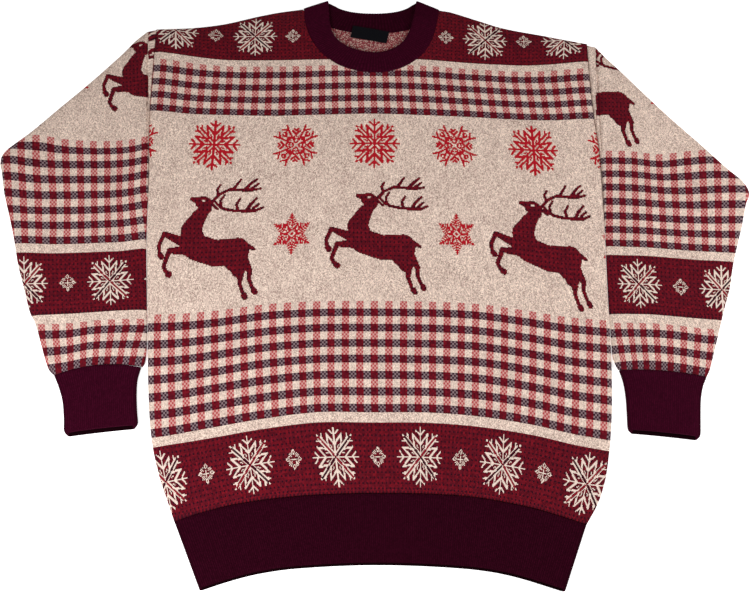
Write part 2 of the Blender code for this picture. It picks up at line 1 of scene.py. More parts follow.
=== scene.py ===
# %% [markdown]
# # A jacquard winter sweater, laid flat
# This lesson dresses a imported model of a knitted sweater. The model gives one solid
# for each sewn piece: front, back, two sleeves, two cuffs, hem rib, neckband, label.
# Each is replaced by a finer shell of cloth on the same form, with its stitches,
# creases and colours. We start by loading the model and keeping the size of its box.

# %% Load the frame
import json
import math

import bpy
import numpy as np
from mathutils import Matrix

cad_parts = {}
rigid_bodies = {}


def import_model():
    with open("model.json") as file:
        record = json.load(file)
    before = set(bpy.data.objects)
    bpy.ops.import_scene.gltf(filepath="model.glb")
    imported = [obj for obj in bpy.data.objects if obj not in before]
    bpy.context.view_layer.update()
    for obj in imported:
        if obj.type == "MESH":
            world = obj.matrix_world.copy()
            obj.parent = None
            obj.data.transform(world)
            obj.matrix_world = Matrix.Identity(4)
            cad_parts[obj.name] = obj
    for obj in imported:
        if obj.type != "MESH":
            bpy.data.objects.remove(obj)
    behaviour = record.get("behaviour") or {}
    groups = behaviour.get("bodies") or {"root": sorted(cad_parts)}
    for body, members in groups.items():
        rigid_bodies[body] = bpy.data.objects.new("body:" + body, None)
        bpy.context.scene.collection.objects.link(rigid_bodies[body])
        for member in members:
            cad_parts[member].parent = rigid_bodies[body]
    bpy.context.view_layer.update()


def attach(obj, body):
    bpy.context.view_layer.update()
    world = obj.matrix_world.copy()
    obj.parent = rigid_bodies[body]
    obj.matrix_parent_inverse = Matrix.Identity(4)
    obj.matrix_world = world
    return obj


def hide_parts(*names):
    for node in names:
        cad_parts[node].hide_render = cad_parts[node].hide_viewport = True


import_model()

# %% [markdown]
# ## The camera
# Clothes that lie flat are shot from a stand right above them, tipped a little
# towards the hem. The lens is a plain 36 mm one, so the shoulders look narrower.

# %% Camera
CAMERA_PLACE = (0.0028, -0.26291, 0.845)
CAMERA_TILT = math.radians(15.0)

lens = bpy.data.cameras.new("camera")
lens.lens, lens.sensor_width = 36.0, 36.0
lens.clip_start, lens.clip_end = 0.05, 20.0
camera = bpy.data.objects.new("camera", lens)
camera.location = CAMERA_PLACE
camera.rotation_euler = (CAMERA_TILT, 0.0, 0.0)
bpy.context.scene.collection.objects.link(camera)
bpy.context.scene.camera = camera
print("camera height", camera.location.z)

# %% [markdown]
# ## Floor and lights
# A pale table with a faint glow of its own, like a light box, keeps the ground white
# round the cloth. A soft lamp stands past the hem on one side and a second one beside
# the other sleeve, so the hem is lit more than the neck and each fold gets its shade.

# %% Floor and lights
FLOOR_REACH, FLOOR_HEIGHT = 6.0, -0.0004
FLOOR_GREY, FLOOR_GLOW = (0.94, 0.94, 0.94, 1.0), 0.62
# name, place, size, watts
LAMPS = (
    ("soft_key", (-0.6, -0.7, 0.8), 0.6, 14.4),
    ("side_fill", (1.2, -0.1, 0.8), 0.7, 13.6))
CHEST = (0.0, -0.05, 0.0)
SKY_COLOUR, SKY_STRENGTH = (1.0, 0.985, 0.97, 1.0), 0.20


def add_floor():
    mesh = bpy.data.meshes.new("floor")
    around = ((-1, -1), (1, -1), (1, 1), (-1, 1))
    corners = [(x * FLOOR_REACH, y * FLOOR_REACH, 0) for x, y in around]
    mesh.from_pydata(corners, [], [(0, 1, 2, 3)])
    floor = bpy.data.objects.new("floor", mesh)
    floor.location.z = FLOOR_HEIGHT
    bpy.context.scene.collection.objects.link(floor)
    material = bpy.data.materials.new("pale_table")
    material.use_nodes = True
    shader = material.node_tree.nodes["Principled BSDF"]
    shader.inputs["Base Color"].default_value = FLOOR_GREY
    shader.inputs["Roughness"].default_value = 0.9
    shader.inputs["Emission Color"].default_value = (1.0, 1.0, 1.0, 1.0)
    shader.inputs["Emission Strength"].default_value = FLOOR_GLOW
    mesh.materials.append(material)


def add_lamp(name, place, look_at, size, watts):
    light = bpy.data.lights.new(name, "AREA")
    light.shape, light.size, light.energy = "DISK", size, watts
    lamp = bpy.data.objects.new(name, light)
    lamp.location = place
    aim = [a - p for a, p in zip(look_at, place)]
    flat = math.hypot(aim[0], aim[1])
    lamp.rotation_euler = (math.atan2(flat, -aim[2]), 0.0, math.atan2(-aim[0], aim[1]))
    lamp.visible_camera = False
    bpy.context.scene.collection.objects.link(lamp)


add_floor()
for name, place, size, watts in LAMPS:
    add_lamp(name, place, CHEST, size, watts)
world = bpy.data.worlds.new("studio")
world.use_nodes = True
sky = world.node_tree.nodes["Background"].inputs
sky["Color"].default_value, sky["Strength"].default_value = SKY_COLOUR, SKY_STRENGTH
bpy.context.scene.world = world
bpy.context.scene.view_settings.view_transform = "Standard"
print("floor and two soft lamps")

# %% [markdown]
# ## The garment's measures
# The tables repeat the pattern maker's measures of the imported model, in millimetres:
# the side lines, the hem, the shoulders, the rings of the neckband, sleeves and cuffs.

# %% Measures of the model, in millimetres
MM = 0.001
# the measures' middle lies this far below the model's
SHIFT_Y = 1.09
KNIT_WALL = 2.0
RIB_WALL = 2.6
RIB_RELIEF = 0.5
REST_GAP = 0.3
SEAM_GAP = 0.02
# room inside a fold of jacquard and of rib
KNIT_FOLD, RIB_FOLD = 0.3, 0.4
# width of the rolled edges of the front and of the back
EDGE_ROLL, BACK_ROLL = 3.4, 1.1

LEFT_SIDE = (
    (-290, -213), (-271, -221), (-246, -231.5), (-220, -240), (-194, -246),
    (-159, -251), (-108, -256), (-43, -261.5), (18, -267), (94, -271),
    (146, -274.5), (194, -277.5), (250, -278), (316, -278))
RIGHT_SIDE = (
    (-293, 230), (-271, 244), (-246, 254), (-220, 260), (-194, 264.5),
    (-159, 268.5), (-102, 272), (-43, 273), (43, 276), (94, 278),
    (146, 278), (190, 275), (243, 273.5), (294.5, 273.5))
HEM_SEAM = (
    (-213, -290), (-189, -282), (-148, -272), (-79, -263.5), (4, -260.5),
    (98, -263.5), (170, -275.5), (230, -293))
HEM_EDGE = (
    (-182, -357), (-150, -347), (-120, -339.8), (-80, -334.5), (3, -331),
    (96, -334.5), (145, -341.5), (203, -358))
LEFT_SHOULDER = (
    (-278, 316), (-231, 318), (-191, 323.5), (-147, 335), (-120, 341), (-89, 345.6))
RIGHT_SHOULDER = (
    (85.5, 344), (101, 341), (133, 329.5), (167, 317.5), (218, 306.5), (273.5, 294.5))

# neck edge x, neck edge y, seam x, seam y
BAND_FRONT = (
    (-57.5, 355.5, -88.5, 344), (-56.5, 341, -88, 331), (-55, 324, -84.5, 315),
    (-50, 307, -76.5, 295.5), (-38, 293.5, -60.5, 275), (-19, 284.5, -33.5, 258),
    (4, 281, 4, 251.5), (24, 285.5, 36, 258), (38.5, 297, 62, 276.5),
    (47.5, 314, 75.5, 299), (52.5, 333, 81.5, 320), (54.5, 343.5, 84, 332),
    (56, 355.5, 85, 342))
BAND_BACK = (
    (56, 355.5, 85, 342), (50, 351.5, 76, 331), (42, 346.5, 62, 322),
    (27, 342, 36, 313.5), (3, 340, 3, 311), (-22, 341.5, -31, 313),
    (-40, 346, -61, 322), (-50, 351.5, -77, 332), (-57.5, 355.5, -88.5, 344))

# outer fold x, outer fold y, inner fold y, gap to the body, bow
LEFT_RINGS = (
    (-360, -131.5, -121.5, 5.8, 7), (-366, -126, -117, 3.4, 7),
    (-372, -114, -108, 1.8, 6), (-378, -98, -95, 0.8, 4),
    (-388, -72, -76, 0.6, 0), (-396.5, -57, -60, 0.6, -2),
    (-406.5, -29, -40, 0.6, -3), (-417, 0, -18, 0.6, -4),
    (-425.5, 31, 4, 0.6, -4), (-435, 61, 25, 0.6, -4),
    (-445, 91, 42, 0.6, -3), (-450.5, 115, 53, 0.6, -2),
    (-454.5, 131, 60, 0.6, -1), (-449.5, 146, 64, 0.6, 0),
    (-421.5, 171.5, 68, 0.6, 0), (-390, 204, 72, 0.6, 0),
    (-357, 237.5, 76, 0.6, 0), (-320.5, 277.5, 80, 0.6, 0),
    (-303, 299, 83, 0.6, 0), (-289, 312.5, 85, 0.6, 0))
RIGHT_RINGS = (
    (377.5, -133, -125, 7.4, 3), (382, -125, -119, 4.4, 3),
    (386.5, -113, -110, 1.6, 3), (396, -86, -93, 0.8, 2),
    (406, -57, -72, 0.6, 0), (416.5, -29, -50, 0.6, -2),
    (424, 0, -28, 0.6, -3), (432.5, 25, -9, 0.6, -4),
    (441, 50, 8, 0.6, -4), (448.5, 75, 23, 0.6, -3),
    (454.5, 90, 32, 0.6, -2), (448, 106, 37, 0.6, -1),
    (431, 123, 41, 0.6, 0), (402, 155, 46, 0.6, 0),
    (371, 188, 50, 0.6, 0), (342, 221, 53, 0.6, 0),
    (313.5, 254.5, 56, 0.6, 0), (297.5, 272.5, 59, 0.6, 0),
    (283.6, 289.8, 61, 0.6, 0))
# y of the shoulder end and of the underarm
LEFT_ARMHOLE = (314.8, 86.0)
RIGHT_ARMHOLE = (292.5, 62.0)

# outer x, outer y, inner x, inner y, bow
LEFT_CUFF = (
    (-359.5, -132.2, -262, -122.3, 7), (-353, -145, -265, -137, 6),
    (-347, -161, -264.5, -155, 4), (-343.5, -180, -262.5, -172, 2),
    (-342, -192.5, -260.8, -183.5, 1), (-338.5, -197.5, -263.5, -189, 0.5))
RIGHT_CUFF = (
    (377, -133.8, 279, -125.8, 3), (371.5, -145, 282.5, -140, 2),
    (367.5, -161, 283.8, -156, 1.5), (365, -181, 283.5, -175, 1),
    (363, -197, 283.2, -189.5, 0.5), (360, -201.5, 286, -194, 0.5))
print("sleeve rings", len(LEFT_RINGS), len(RIGHT_RINGS))

# %% [markdown]
# ## Smooth lines through few measures
# A pattern cutter marks a few points and draws a fair line through them with a curve.
# We do the same: a cubic through each table, worked out for many points at once.


# %% Curves through the tables
def curve_through(keys, values):
    """A function that follows a smooth line through the pairs, keys ascending."""
    keys, values = np.array(keys, float), np.array(values, float)
    each = np.arange(len(keys))
    low, high = np.maximum(each - 1, 0), np.minimum(each + 1, len(keys) - 1)
    run = (keys[high] - keys[low]).reshape((-1,) + (1,) * (values.ndim - 1))
    slopes = (values[high] - values[low]) / run

    def at(key):
        key = np.clip(key, keys[0], keys[-1])
        i = np.clip(np.searchsorted(keys, key, side="right") - 1, 0, len(keys) - 2)
        span = keys[i + 1] - keys[i]
        t = (key - keys[i]) / span
        if values.ndim > 1:
            span, t = span[..., None], t[..., None]
        return ((2 * t ** 3 - 3 * t ** 2 + 1) * values[i]
                + (t ** 3 - 2 * t ** 2 + t) * span * slopes[i]
                + (3 * t ** 2 - 2 * t ** 3) * values[i + 1]
                + (t ** 3 - t ** 2) * span * slopes[i + 1])
    return at


def line_of(table):
    return curve_through(*zip(*table))


def key_of(table, share):
    """The key at a share of the way from a table's first row to its last."""
    return table[0][0] + (table[-1][0] - table[0][0]) * share


def rows_of(table):
    """All columns of a table at a place, 0 at its first row and 1 more at each next."""
    return curve_through(range(len(table)), table)


def one_long(runs):
    """The same directions, each with a length of 1."""
    return runs / np.hypot(runs[..., 0], runs[..., 1])[..., None]


def arch(share, power=4):
    """0 at both ends of a span and 1 in its middle."""
    return 1 - (2 * share - 1) ** power


def swell(distance, reach):
    """A quarter round: 0 at no distance, and 1 from the reach on."""
    t = np.clip(distance / reach, 0.0, 1.0)
    return 1 - (1 - t) ** 2


left_x, right_x = line_of(LEFT_SIDE), line_of(RIGHT_SIDE)
hem_seam_y, hem_edge_y = line_of(HEM_SEAM), line_of(HEM_EDGE)
left_shoulder_y, right_shoulder_y = line_of(LEFT_SHOULDER), line_of(RIGHT_SHOULDER)
print("side seam at half height", round(float(left_x(0.0)), 1), round(float(right_x(0.0)), 1))

# %% [markdown]
# ## Folds that time and hands leave in a jersey
# A heavy knit doesn't crumple, it bends in long soft rolls. We place each as a
# line with a width and a height by which it rises. Lengths and widths differ, and
# each one fades out towards its ends as a real crease does.

# %% Folds and creases
# start x, start y, end x, end y, half width, height: the large folds of the model
BODY_FOLDS = (
    (-64, -262, -58, -70, 11, 0.7), (77, -262, 72, -60, 11, 0.7),
    (-262, 40, -176, -30, 15, 0.8), (270, 30, 190, -36, 15, 0.8),
    (-250, -190, -190, -240, 12, 0.7), (262, -185, 196, -240, 12, 0.7),
    (-200, 296, -120, 240, 16, 0.6), (196, 290, 128, 236, 16, 0.6))
SLEEVE_FOLDS = (
    (-448, 128, -340, 96, 12, 0.9), (448, 90, 344, 66, 12, 0.9),
    (-376, -96, -312, -70, 9, 0.8), (392, -96, 324, -74, 9, 0.8),
    (-300, 288, -318, 150, 13, 0.8), (296, 262, 312, 130, 13, 0.8),
    (-398, -54, -330, -36, 9, 0.7))


def fold_lift(folds, x, y):
    """How far the folds raise the cloth at each place."""
    lift = np.zeros_like(x)
    for x0, y0, x1, y1, half_width, height in folds:
        run_x, run_y = x1 - x0, y1 - y0
        t = np.clip(((x - x0) * run_x + (y - y0) * run_y) / (run_x ** 2 + run_y ** 2), 0.0, 1.0)
        away = np.hypot(x - x0 - t * run_x, y - y0 - t * run_y)
        lift = lift + height * np.exp(-(away / half_width) ** 2)
    return lift


print("folds", len(BODY_FOLDS) + len(SLEEVE_FOLDS))

# %% [markdown]
# ## From points to a piece
# Every piece is a closed skin: an outer grid of points, an inner grid a cloth's
# thickness below it, and a rim between them. Quads in rows keep the mesh tidy. The
# stitch numbers are written to a UV map, as a knitter counts stitches and rows.

# %% Quads of a cloth
CREASE_ANGLE = math.radians(50)


def grid_quads(rows, columns, start, closed=False, flipped=False):
    """Quads of a grid of points whose numbers run along each row."""
    across = columns if closed else columns - 1
    j, i = np.meshgrid(np.arange(rows - 1), np.arange(across), indexing="ij")
    k = (i + 1) % columns
    here, above = j * columns, (j + 1) * columns
    quads = np.stack([here + i, here + k, above + k, above + i], -1).reshape(-1, 4) + start
    return quads[:, ::-1] if flipped else quads


def rim_quads(border, other):
    """Quads that join two borders of the same number of points."""
    border, other = np.array(border), np.array(other)
    return np.stack([np.roll(border, -1), border, other, np.roll(other, -1)], -1)


def slab_of(x, y, top, under):
    """Points and quads between two heights over one plan; side is 1 on top and -1 below."""
    rows, columns = x.shape
    count = rows * columns
    points = np.concatenate([np.stack([x, y, z], -1).reshape(-1, 3) for z in (top, under)])
    numbers = np.arange(count).reshape(rows, columns)
    border = np.concatenate([numbers[0, :-1], numbers[:-1, -1],
                             numbers[-1, :0:-1], numbers[:0:-1, 0]])
    upper, lower = grid_quads(rows, columns, 0), grid_quads(rows, columns, count, flipped=True)
    quads = np.concatenate([upper, rim_quads(border, border + count), lower])
    side = np.repeat([1, 0, -1], [len(upper), len(border), len(lower)])
    return points, quads, side


print("a slab of 3 by 4 points has", len(slab_of(*np.zeros((4, 3, 4)))[1]), "quads")


# %% A piece from points and quads
def add_cloth(name, points, quads, slots, materials, **maps):
    """A piece of cloth; slots number the material of each quad, maps are its UV maps."""
    mesh = bpy.data.meshes.new(name)
    world_points = points * MM
    world_points[:, 1] += SHIFT_Y * MM
    mesh.vertices.add(len(points))
    mesh.vertices.foreach_set("co", world_points.ravel())
    mesh.loops.add(quads.size)
    mesh.loops.foreach_set("vertex_index", quads.ravel().astype(np.int32))
    mesh.polygons.add(len(quads))
    mesh.polygons.foreach_set("loop_start", np.arange(0, quads.size, 4, dtype=np.int32))
    mesh.update(calc_edges=True)
    mesh.validate()
    for key, numbers in maps.items():
        layer = mesh.uv_layers.new(name=key)
        layer.data.foreach_set("uv", numbers[quads.ravel()].astype(np.float32).ravel())
    for material in materials:
        mesh.materials.append(material)
    mesh.polygons.foreach_set("material_index", slots.astype(np.int32))
    mesh.polygons.foreach_set("use_smooth", np.ones(len(quads), dtype=bool))
    mesh.set_sharp_from_angle(angle=CREASE_ANGLE)
    piece = bpy.data.objects.new(name, mesh)
    bpy.context.scene.collection.objects.link(piece)
    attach(piece, "root")
    print(name, len(points), "points", 2 * len(quads), "triangles")
    return piece

# %% [markdown]
# ## Counting stitches
# A knitter finds a place on the cloth by its column and its row, not by a ruler. Laid
# by hand, a jersey is never quite square: rows rise and dip and columns lean. So we
# note where a few rows and a few columns run, and read every point between them. The
# numbers go into UV maps, and the finishes below are charts that read those maps.

# %% Rows and columns of the body
# millimetres for each row past the tables: towards the hem, and towards the shoulders
ROW_BELOW, BODY_ROW_ABOVE, LEFT_ROW_ABOVE, RIGHT_ROW_ABOVE = 1.31, 1.15, 1.33, 1.27
HEM_SEAM_ROW = 0.5
BODY_X = (-270, -225, -180, -120, -60, 0, 60, 120, 180, 225, 270)
# row number: its height in millimetres at each x
BODY_ROWS = {
    0: (-289.9, -289.8, -279.3, -267.3, -262.6, -260.7, -261.7, -266.5, -278.5, -291.5, -293.0),
    58: (-216, -209.2, -202, -191.6, -184.6, -184.7, -185, -189.6, -199.1, -209.7, -217.3),
    67: (-204, -198.8, -190.6, -180.2, -173.1, -173.3, -173.5, -178, -187.6, -197.8, -205.1),
    112: (-138.7, -135.5, -128.6, -119.1, -113.9, -113.4, -114.4, -117.6, -126.9, -135.7, -141.2),
    158: (-71.2, -70.6, -66.5, -58.2, -54.8, -54.4, -55.1, -58, -66.3, -73.5, -77.2),
    178: (-42.2, -42, -38.9, -31.9, -28.7, -28.5, -29.4, -31.9, -40.6, -48.2, -51.2),
    229: (31.8, 30.8, 31.5, 35, 37.8, 37.4, 36.1, 34.8, 27.2, 22.6, 21),
    318: (157.2, 153.3, 152, 151.4, 152.4, 153.9, 152.2, 149.8, 145.4, 143.9, 146.5),
    349: (199.7, 194.2, 192.5, 191.5, 193.2, 194.5, 192.5, 189.8, 186.2, 185.4, 188.7),
    390: (253.1, 245.8, 242.7, 242, 244.6, 245.4, 244.1, 239.3, 235.8, 236.1, 240.4),
    411: (282.1, 274.1, 268.8, 268.9, 270.3, 269.8, 270.2, 264.9, 261.4, 263, 268.5)}
BODY_COLUMNS = (-252, -210, -168, -126, -84, -42, 0, 42, 84, 126, 168, 210, 252)
# row number: where each of these columns crosses it
BODY_LINES = {
    5: (-254, -212, -170, -125.5, -80.5, -35.6, 7, 49.9, 90.5, 133, 174, 216, 258),
    30: (-266, -220.5, -177.7, -131, -84.7, -40.2, 5, 50.6, 92.8, 138.2, 180.6, 226.2, 272),
    55: (-274, -229.5, -183.5, -136.5, -90, -44.1, 3.5, 50.3, 96.5, 140.5, 186.5, 232.3, 278),
    70: (-284, -236.5, -189.1, -140.2, -91.8, -45.7, 2.5, 50.9, 98.8, 144.7, 191.9, 239.5, 286.8),
    112: (-290, -242.3, -194.3, -144.7, -95.3, -47.2, 1.8, 51.5, 100.1, 148.9, 196.7, 244.4, 292),
    154: (-295.8, -246.6, -197.2, -148.4, -98.2, -47.6, 2.1, 52.8, 102.1, 151.6, 200, 248, 296),
    229: (-298.5, -249.5, -200.2, -149.4, -97.9, -47.2, 1, 51.1, 101.6, 152, 202, 250.5, 299.5),
    262: (-299.5, -250.5, -201.7, -151.5, -98.5, -47.4, 1, 51.1, 101.8, 152, 201.6, 249.7, 298.5),
    318: (-297.5, -248.9, -198.8, -147.3, -96.1, -46.6, 2.4, 52.1, 102.4, 151.8, 201.2, 249, 297.5),
    352: (-297, -248.3, -198, -147, -95.9, -46.4, 1.9, 50.7, 100.2, 149.5, 199.3, 247.2, 295.5),
    395: (-297, -247.4, -196.3, -145.9, -96.4, -47.5, 0, 47.3, 95.2, 144.8, 194.3, 243.6, 293.5),
    437: (-303.9, -252.2, -199, -148.5, -99.4, -49.4, -0.4, 48.1, 97.9, 148, 198, 249.9, 301.1)}
print("rows of the body that are noted:", *sorted(BODY_ROWS))

# %% Rows and columns of the sleeves
LEFT_X = (-440, -410, -380, -350, -320, -295, -272)
LEFT_ROWS = {
    -50: (-130.8, -130.3, -129.5, -126.1, -119.7, -118.6, -118.6),
    -15: (-79.7, -79.7, -79.7, -79.5, -75.4, -73.8, -73.2),
    0: (-62.9, -62.9, -61.5, -60.2, -58.3, -56.6, -55.3),
    38: (-13.6, -13.9, -14.1, -13.5, -12.1, -10.8, -8.3),
    58: (13.9, 13.5, 12.3, 12.9, 14.1, 15.3, 18.8),
    67: (26, 25, 23.7, 24, 25.4, 26.6, 30.4),
    104: (77.3, 73.9, 73.5, 73.9, 75, 77.4, 82.5),
    144: (137.9, 132.9, 130.7, 130.6, 130.7, 133, 138),
    158: (156.9, 156.2, 150.6, 148, 147.5, 150, 156.1)}
SLEEVE_COLUMNS = (-84, -56, -28, 0, 28, 56, 84)
LEFT_LINES = {
    -50: (-410.5, -382.4, -354.2, -327, -300.3, -272.4, -244.7),
    -17: (-428, -395, -361.8, -329.8, -298.4, -265.6, -233),
    70: (-444, -410.7, -377.1, -344.1, -312.2, -281, -250.3),
    112: (-456, -419.9, -383, -349.6, -318.4, -290.6, -262.2),
    154: (-467.8, -430.6, -393.2, -357.1, -323.5, -293.3, -264),
    284: (-490.2, -452.8, -415.4, -379.7, -345.8, -314.8, -283.8)}
RIGHT_X = (275, 295, 320, 350, 380, 410, 440)
RIGHT_ROWS = {
    -50: (-126, -124, -124, -127.5, -132.6, -134, -134),
    -15: (-77.8, -78.1, -78.8, -81.5, -85.5, -85.8, -85.8),
    0: (-60.2, -60.4, -61.0, -63.6, -66.2, -67.7, -67.7),
    42: (-9.6, -10.2, -10.9, -13.5, -16, -17.4, -18.4),
    58: (11.1, 10, 9.2, 6.8, 4.2, 2.8, 1.5),
    67: (22, 20.8, 19.8, 17.5, 15.2, 13.8, 13),
    98: (59.4, 58.6, 57.1, 54.7, 53.5, 53.3, 54.4),
    128: (98.4, 98.2, 96.8, 93.9, 93.4, 95.2, 96.2),
    158: (135, 135.1, 133.7, 130.5, 134.2, 137.3, 136)}
RIGHT_LINES = {
    -50: (259.5, 284.2, 309.3, 336.2, 364.4, 391.5, 418.4),
    -17: (253, 280.9, 309.1, 339.5, 371.2, 401.7, 432),
    30: (250.8, 280.2, 309.6, 340.6, 372, 403, 434),
    70: (249, 280, 310.9, 343.4, 375.8, 407.4, 439),
    154: (256.2, 287.4, 318.2, 347.5, 382.5, 419.6, 455.5),
    284: (263.4, 295.1, 326.9, 361, 397.5, 433.5, 470)}


def count_stitches(x, y, row_x, rows, columns, lines, above):
    """Column and row numbers at places in millimetres."""
    numbers = np.array(sorted(rows), float)
    heights = np.stack([curve_through(row_x, rows[n])(x) for n in sorted(rows)])
    v = numbers[0] + (y - heights[0]) / ROW_BELOW
    for low, high, n_low, n_high in zip(heights, heights[1:], numbers, numbers[1:]):
        v = np.where(y > low, n_low + (n_high - n_low) * (y - low) / (high - low), v)
    v = np.where(y > heights[-1], numbers[-1] + (y - heights[-1]) / above, v)
    marks = np.array(sorted(lines), float)
    across = np.stack([np.interp(x, lines[n], columns) for n in sorted(lines)])
    k = np.clip(np.searchsorted(marks, v, side="right") - 1, 0, len(marks) - 2)
    t = np.clip((v - marks[k]) / (marks[k + 1] - marks[k]), 0.0, 1.0)
    low = np.take_along_axis(across, k[None], 0)[0]
    high = np.take_along_axis(across, k[None] + 1, 0)[0]
    return np.stack([low + (high - low) * t, v], -1)


def body_stitches(x, y):
    numbers = count_stitches(x, y, BODY_X, BODY_ROWS, BODY_COLUMNS, BODY_LINES, BODY_ROW_ABOVE)
    numbers[:, 1] = np.maximum(numbers[:, 1], HEM_SEAM_ROW)
    return numbers


sides = body_stitches(np.array([-270.0, 270.0]), np.array([150.0, 150.0]))
print("columns across the chest, from and to:", np.round(sides[:, 0]))

# %% [markdown]
# ## A small workbench for finishes
# Charts are arithmetic: "every second row", "nearer to this line than two stitches".
# Blender does arithmetic with Math nodes. To keep the recipes readable, the class Num
# lets us write sums and tests on numbers that differ from point to point.

# %% Arithmetic with nodes
bench = {"tree": None}


def add_node(kind, *values, out=0, **settings):
    """A shader node, its inputs set from numbers or joined to outputs."""
    node = bench["tree"].nodes.new(kind)
    for key, value in settings.items():
        setattr(node, key, value)
    for socket, value in zip(node.inputs, values):
        if isinstance(value, Num):
            value = value.socket
        if isinstance(value, bpy.types.NodeSocket):
            bench["tree"].links.new(value, socket)
        elif value is not None:
            socket.default_value = value
    return node.outputs[out]


def work(operation, *values):
    return Num(add_node("ShaderNodeMath", *values, operation=operation))


class Num:
    """A number at each point of the cloth."""

    def __init__(self, socket):
        self.socket = socket

    def __add__(self, other):
        return work("ADD", self, other)

    def __sub__(self, other):
        return work("SUBTRACT", self, other)

    def __rsub__(self, other):
        return work("SUBTRACT", other, self)

    def __mul__(self, other):
        return work("MULTIPLY", self, other)

    def __lt__(self, other):
        return work("LESS_THAN", self, other)

    def __gt__(self, other):
        return work("GREATER_THAN", self, other)

    def __abs__(self):
        return work("ABSOLUTE", self)

    __radd__, __rmul__ = __add__, __mul__


def floor_of(value):
    return work("FLOOR", value)


def part_of(value):
    """What is left after the last whole number."""
    return work("FRACT", value)


def between(value, low, high):
    return work("COMPARE", value, (low + high) / 2, (high - low) / 2)


def either(a, b):
    return work("MAXIMUM", a, b)


def vector_of(x, y):
    return add_node("ShaderNodeCombineXYZ", x, y)


def blend_colours(amount, a, b):
    not_used = (None,) * 5
    return add_node("ShaderNodeMix", amount, *not_used, a, b, out=2, data_type="RGBA")


def new_material(name):
    material = bpy.data.materials.new(name)
    material.use_nodes = True
    bench["tree"] = material.node_tree
    return material, material.node_tree.nodes["Principled BSDF"]


def uv_numbers(name):
    """The two numbers of a UV map."""
    place = add_node("ShaderNodeUVMap", uv_map=name)
    split = add_node("ShaderNodeSeparateXYZ", place).node
    return Num(split.outputs[0]), Num(split.outputs[1])


print("workbench ready")

# %% [markdown]
# ## Strokes for the motifs
# Knitted pictures are built from lines of stitches. One node group measures how far a
# stitch is from a line that may taper, and passes on the nearest so far. A table of
# strokes then draws a motif; a snowflake needs strokes for one eighth or one twelfth
# only, because folding the plane repeats them, as scissors do in folded paper.


# %% The stroke group
def make_stroke_group():
    group = bpy.data.node_groups.new("stroke", "ShaderNodeTree")
    places = ("Place", "From", "Run", "Run by length")
    widths = ("Half width", "Widening", "Nearest")
    for name in places + widths:
        kind = "NodeSocketVector" if name in places else "NodeSocketFloat"
        group.interface.new_socket(name, in_out="INPUT", socket_type=kind)
    group.interface.new_socket("Nearest", in_out="OUTPUT", socket_type="NodeSocketFloat")
    bench["tree"] = group
    given = group.nodes.new("NodeGroupInput").outputs
    away = add_node("ShaderNodeVectorMath", given[0], given[1], operation="SUBTRACT")
    along = add_node("ShaderNodeVectorMath", away, given[3], operation="DOT_PRODUCT", out=1)
    along = add_node("ShaderNodeClamp", along, 0.0, 1.0)
    foot = add_node("ShaderNodeVectorMath", given[2], None, None, along, operation="SCALE")
    gap = add_node("ShaderNodeVectorMath", away, foot, operation="DISTANCE", out=1)
    width = work("MULTIPLY_ADD", along, given[5], given[4])
    nearest = work("MINIMUM", Num(gap) - width, given[6])
    group.links.new(nearest.socket, group.nodes.new("NodeGroupOutput").inputs[0])
    return group


stroke_group = make_stroke_group()


def draw(place, strokes, bolder=0.0):
    """1 on the stitches that the strokes cover; bolder widens them all."""
    nearest = 9.0
    for x0, y0, x1, y1, start, end in strokes:
        run = (x1 - x0, y1 - y0, 0.0)
        square = max(run[0] ** 2 + run[1] ** 2, 1e-6)
        node = bench["tree"].nodes.new("ShaderNodeGroup")
        node.node_tree = stroke_group
        node.inputs[1].default_value = (x0, y0, 0.0)
        node.inputs[2].default_value = run
        node.inputs[3].default_value = (run[0] / square, run[1] / square, 0.0)
        node.inputs[4].default_value = start
        node.inputs[5].default_value = end - start
        bench["tree"].links.new(place, node.inputs[0])
        if isinstance(nearest, float):
            node.inputs[6].default_value = nearest
        else:
            bench["tree"].links.new(nearest, node.inputs[6])
        nearest = node.outputs[0]
    return Num(nearest) < bolder


print("stroke group of", len(stroke_group.nodes), "nodes")

# %% [markdown]
# ## The motifs
# Our own snowflakes and reindeer, of the common winter kind. Numbers are columns and
# rows. For an eight-fold snowflake, the first number runs out along an arm and the second
# away from it; the diagonal between two arms is where both are equal.

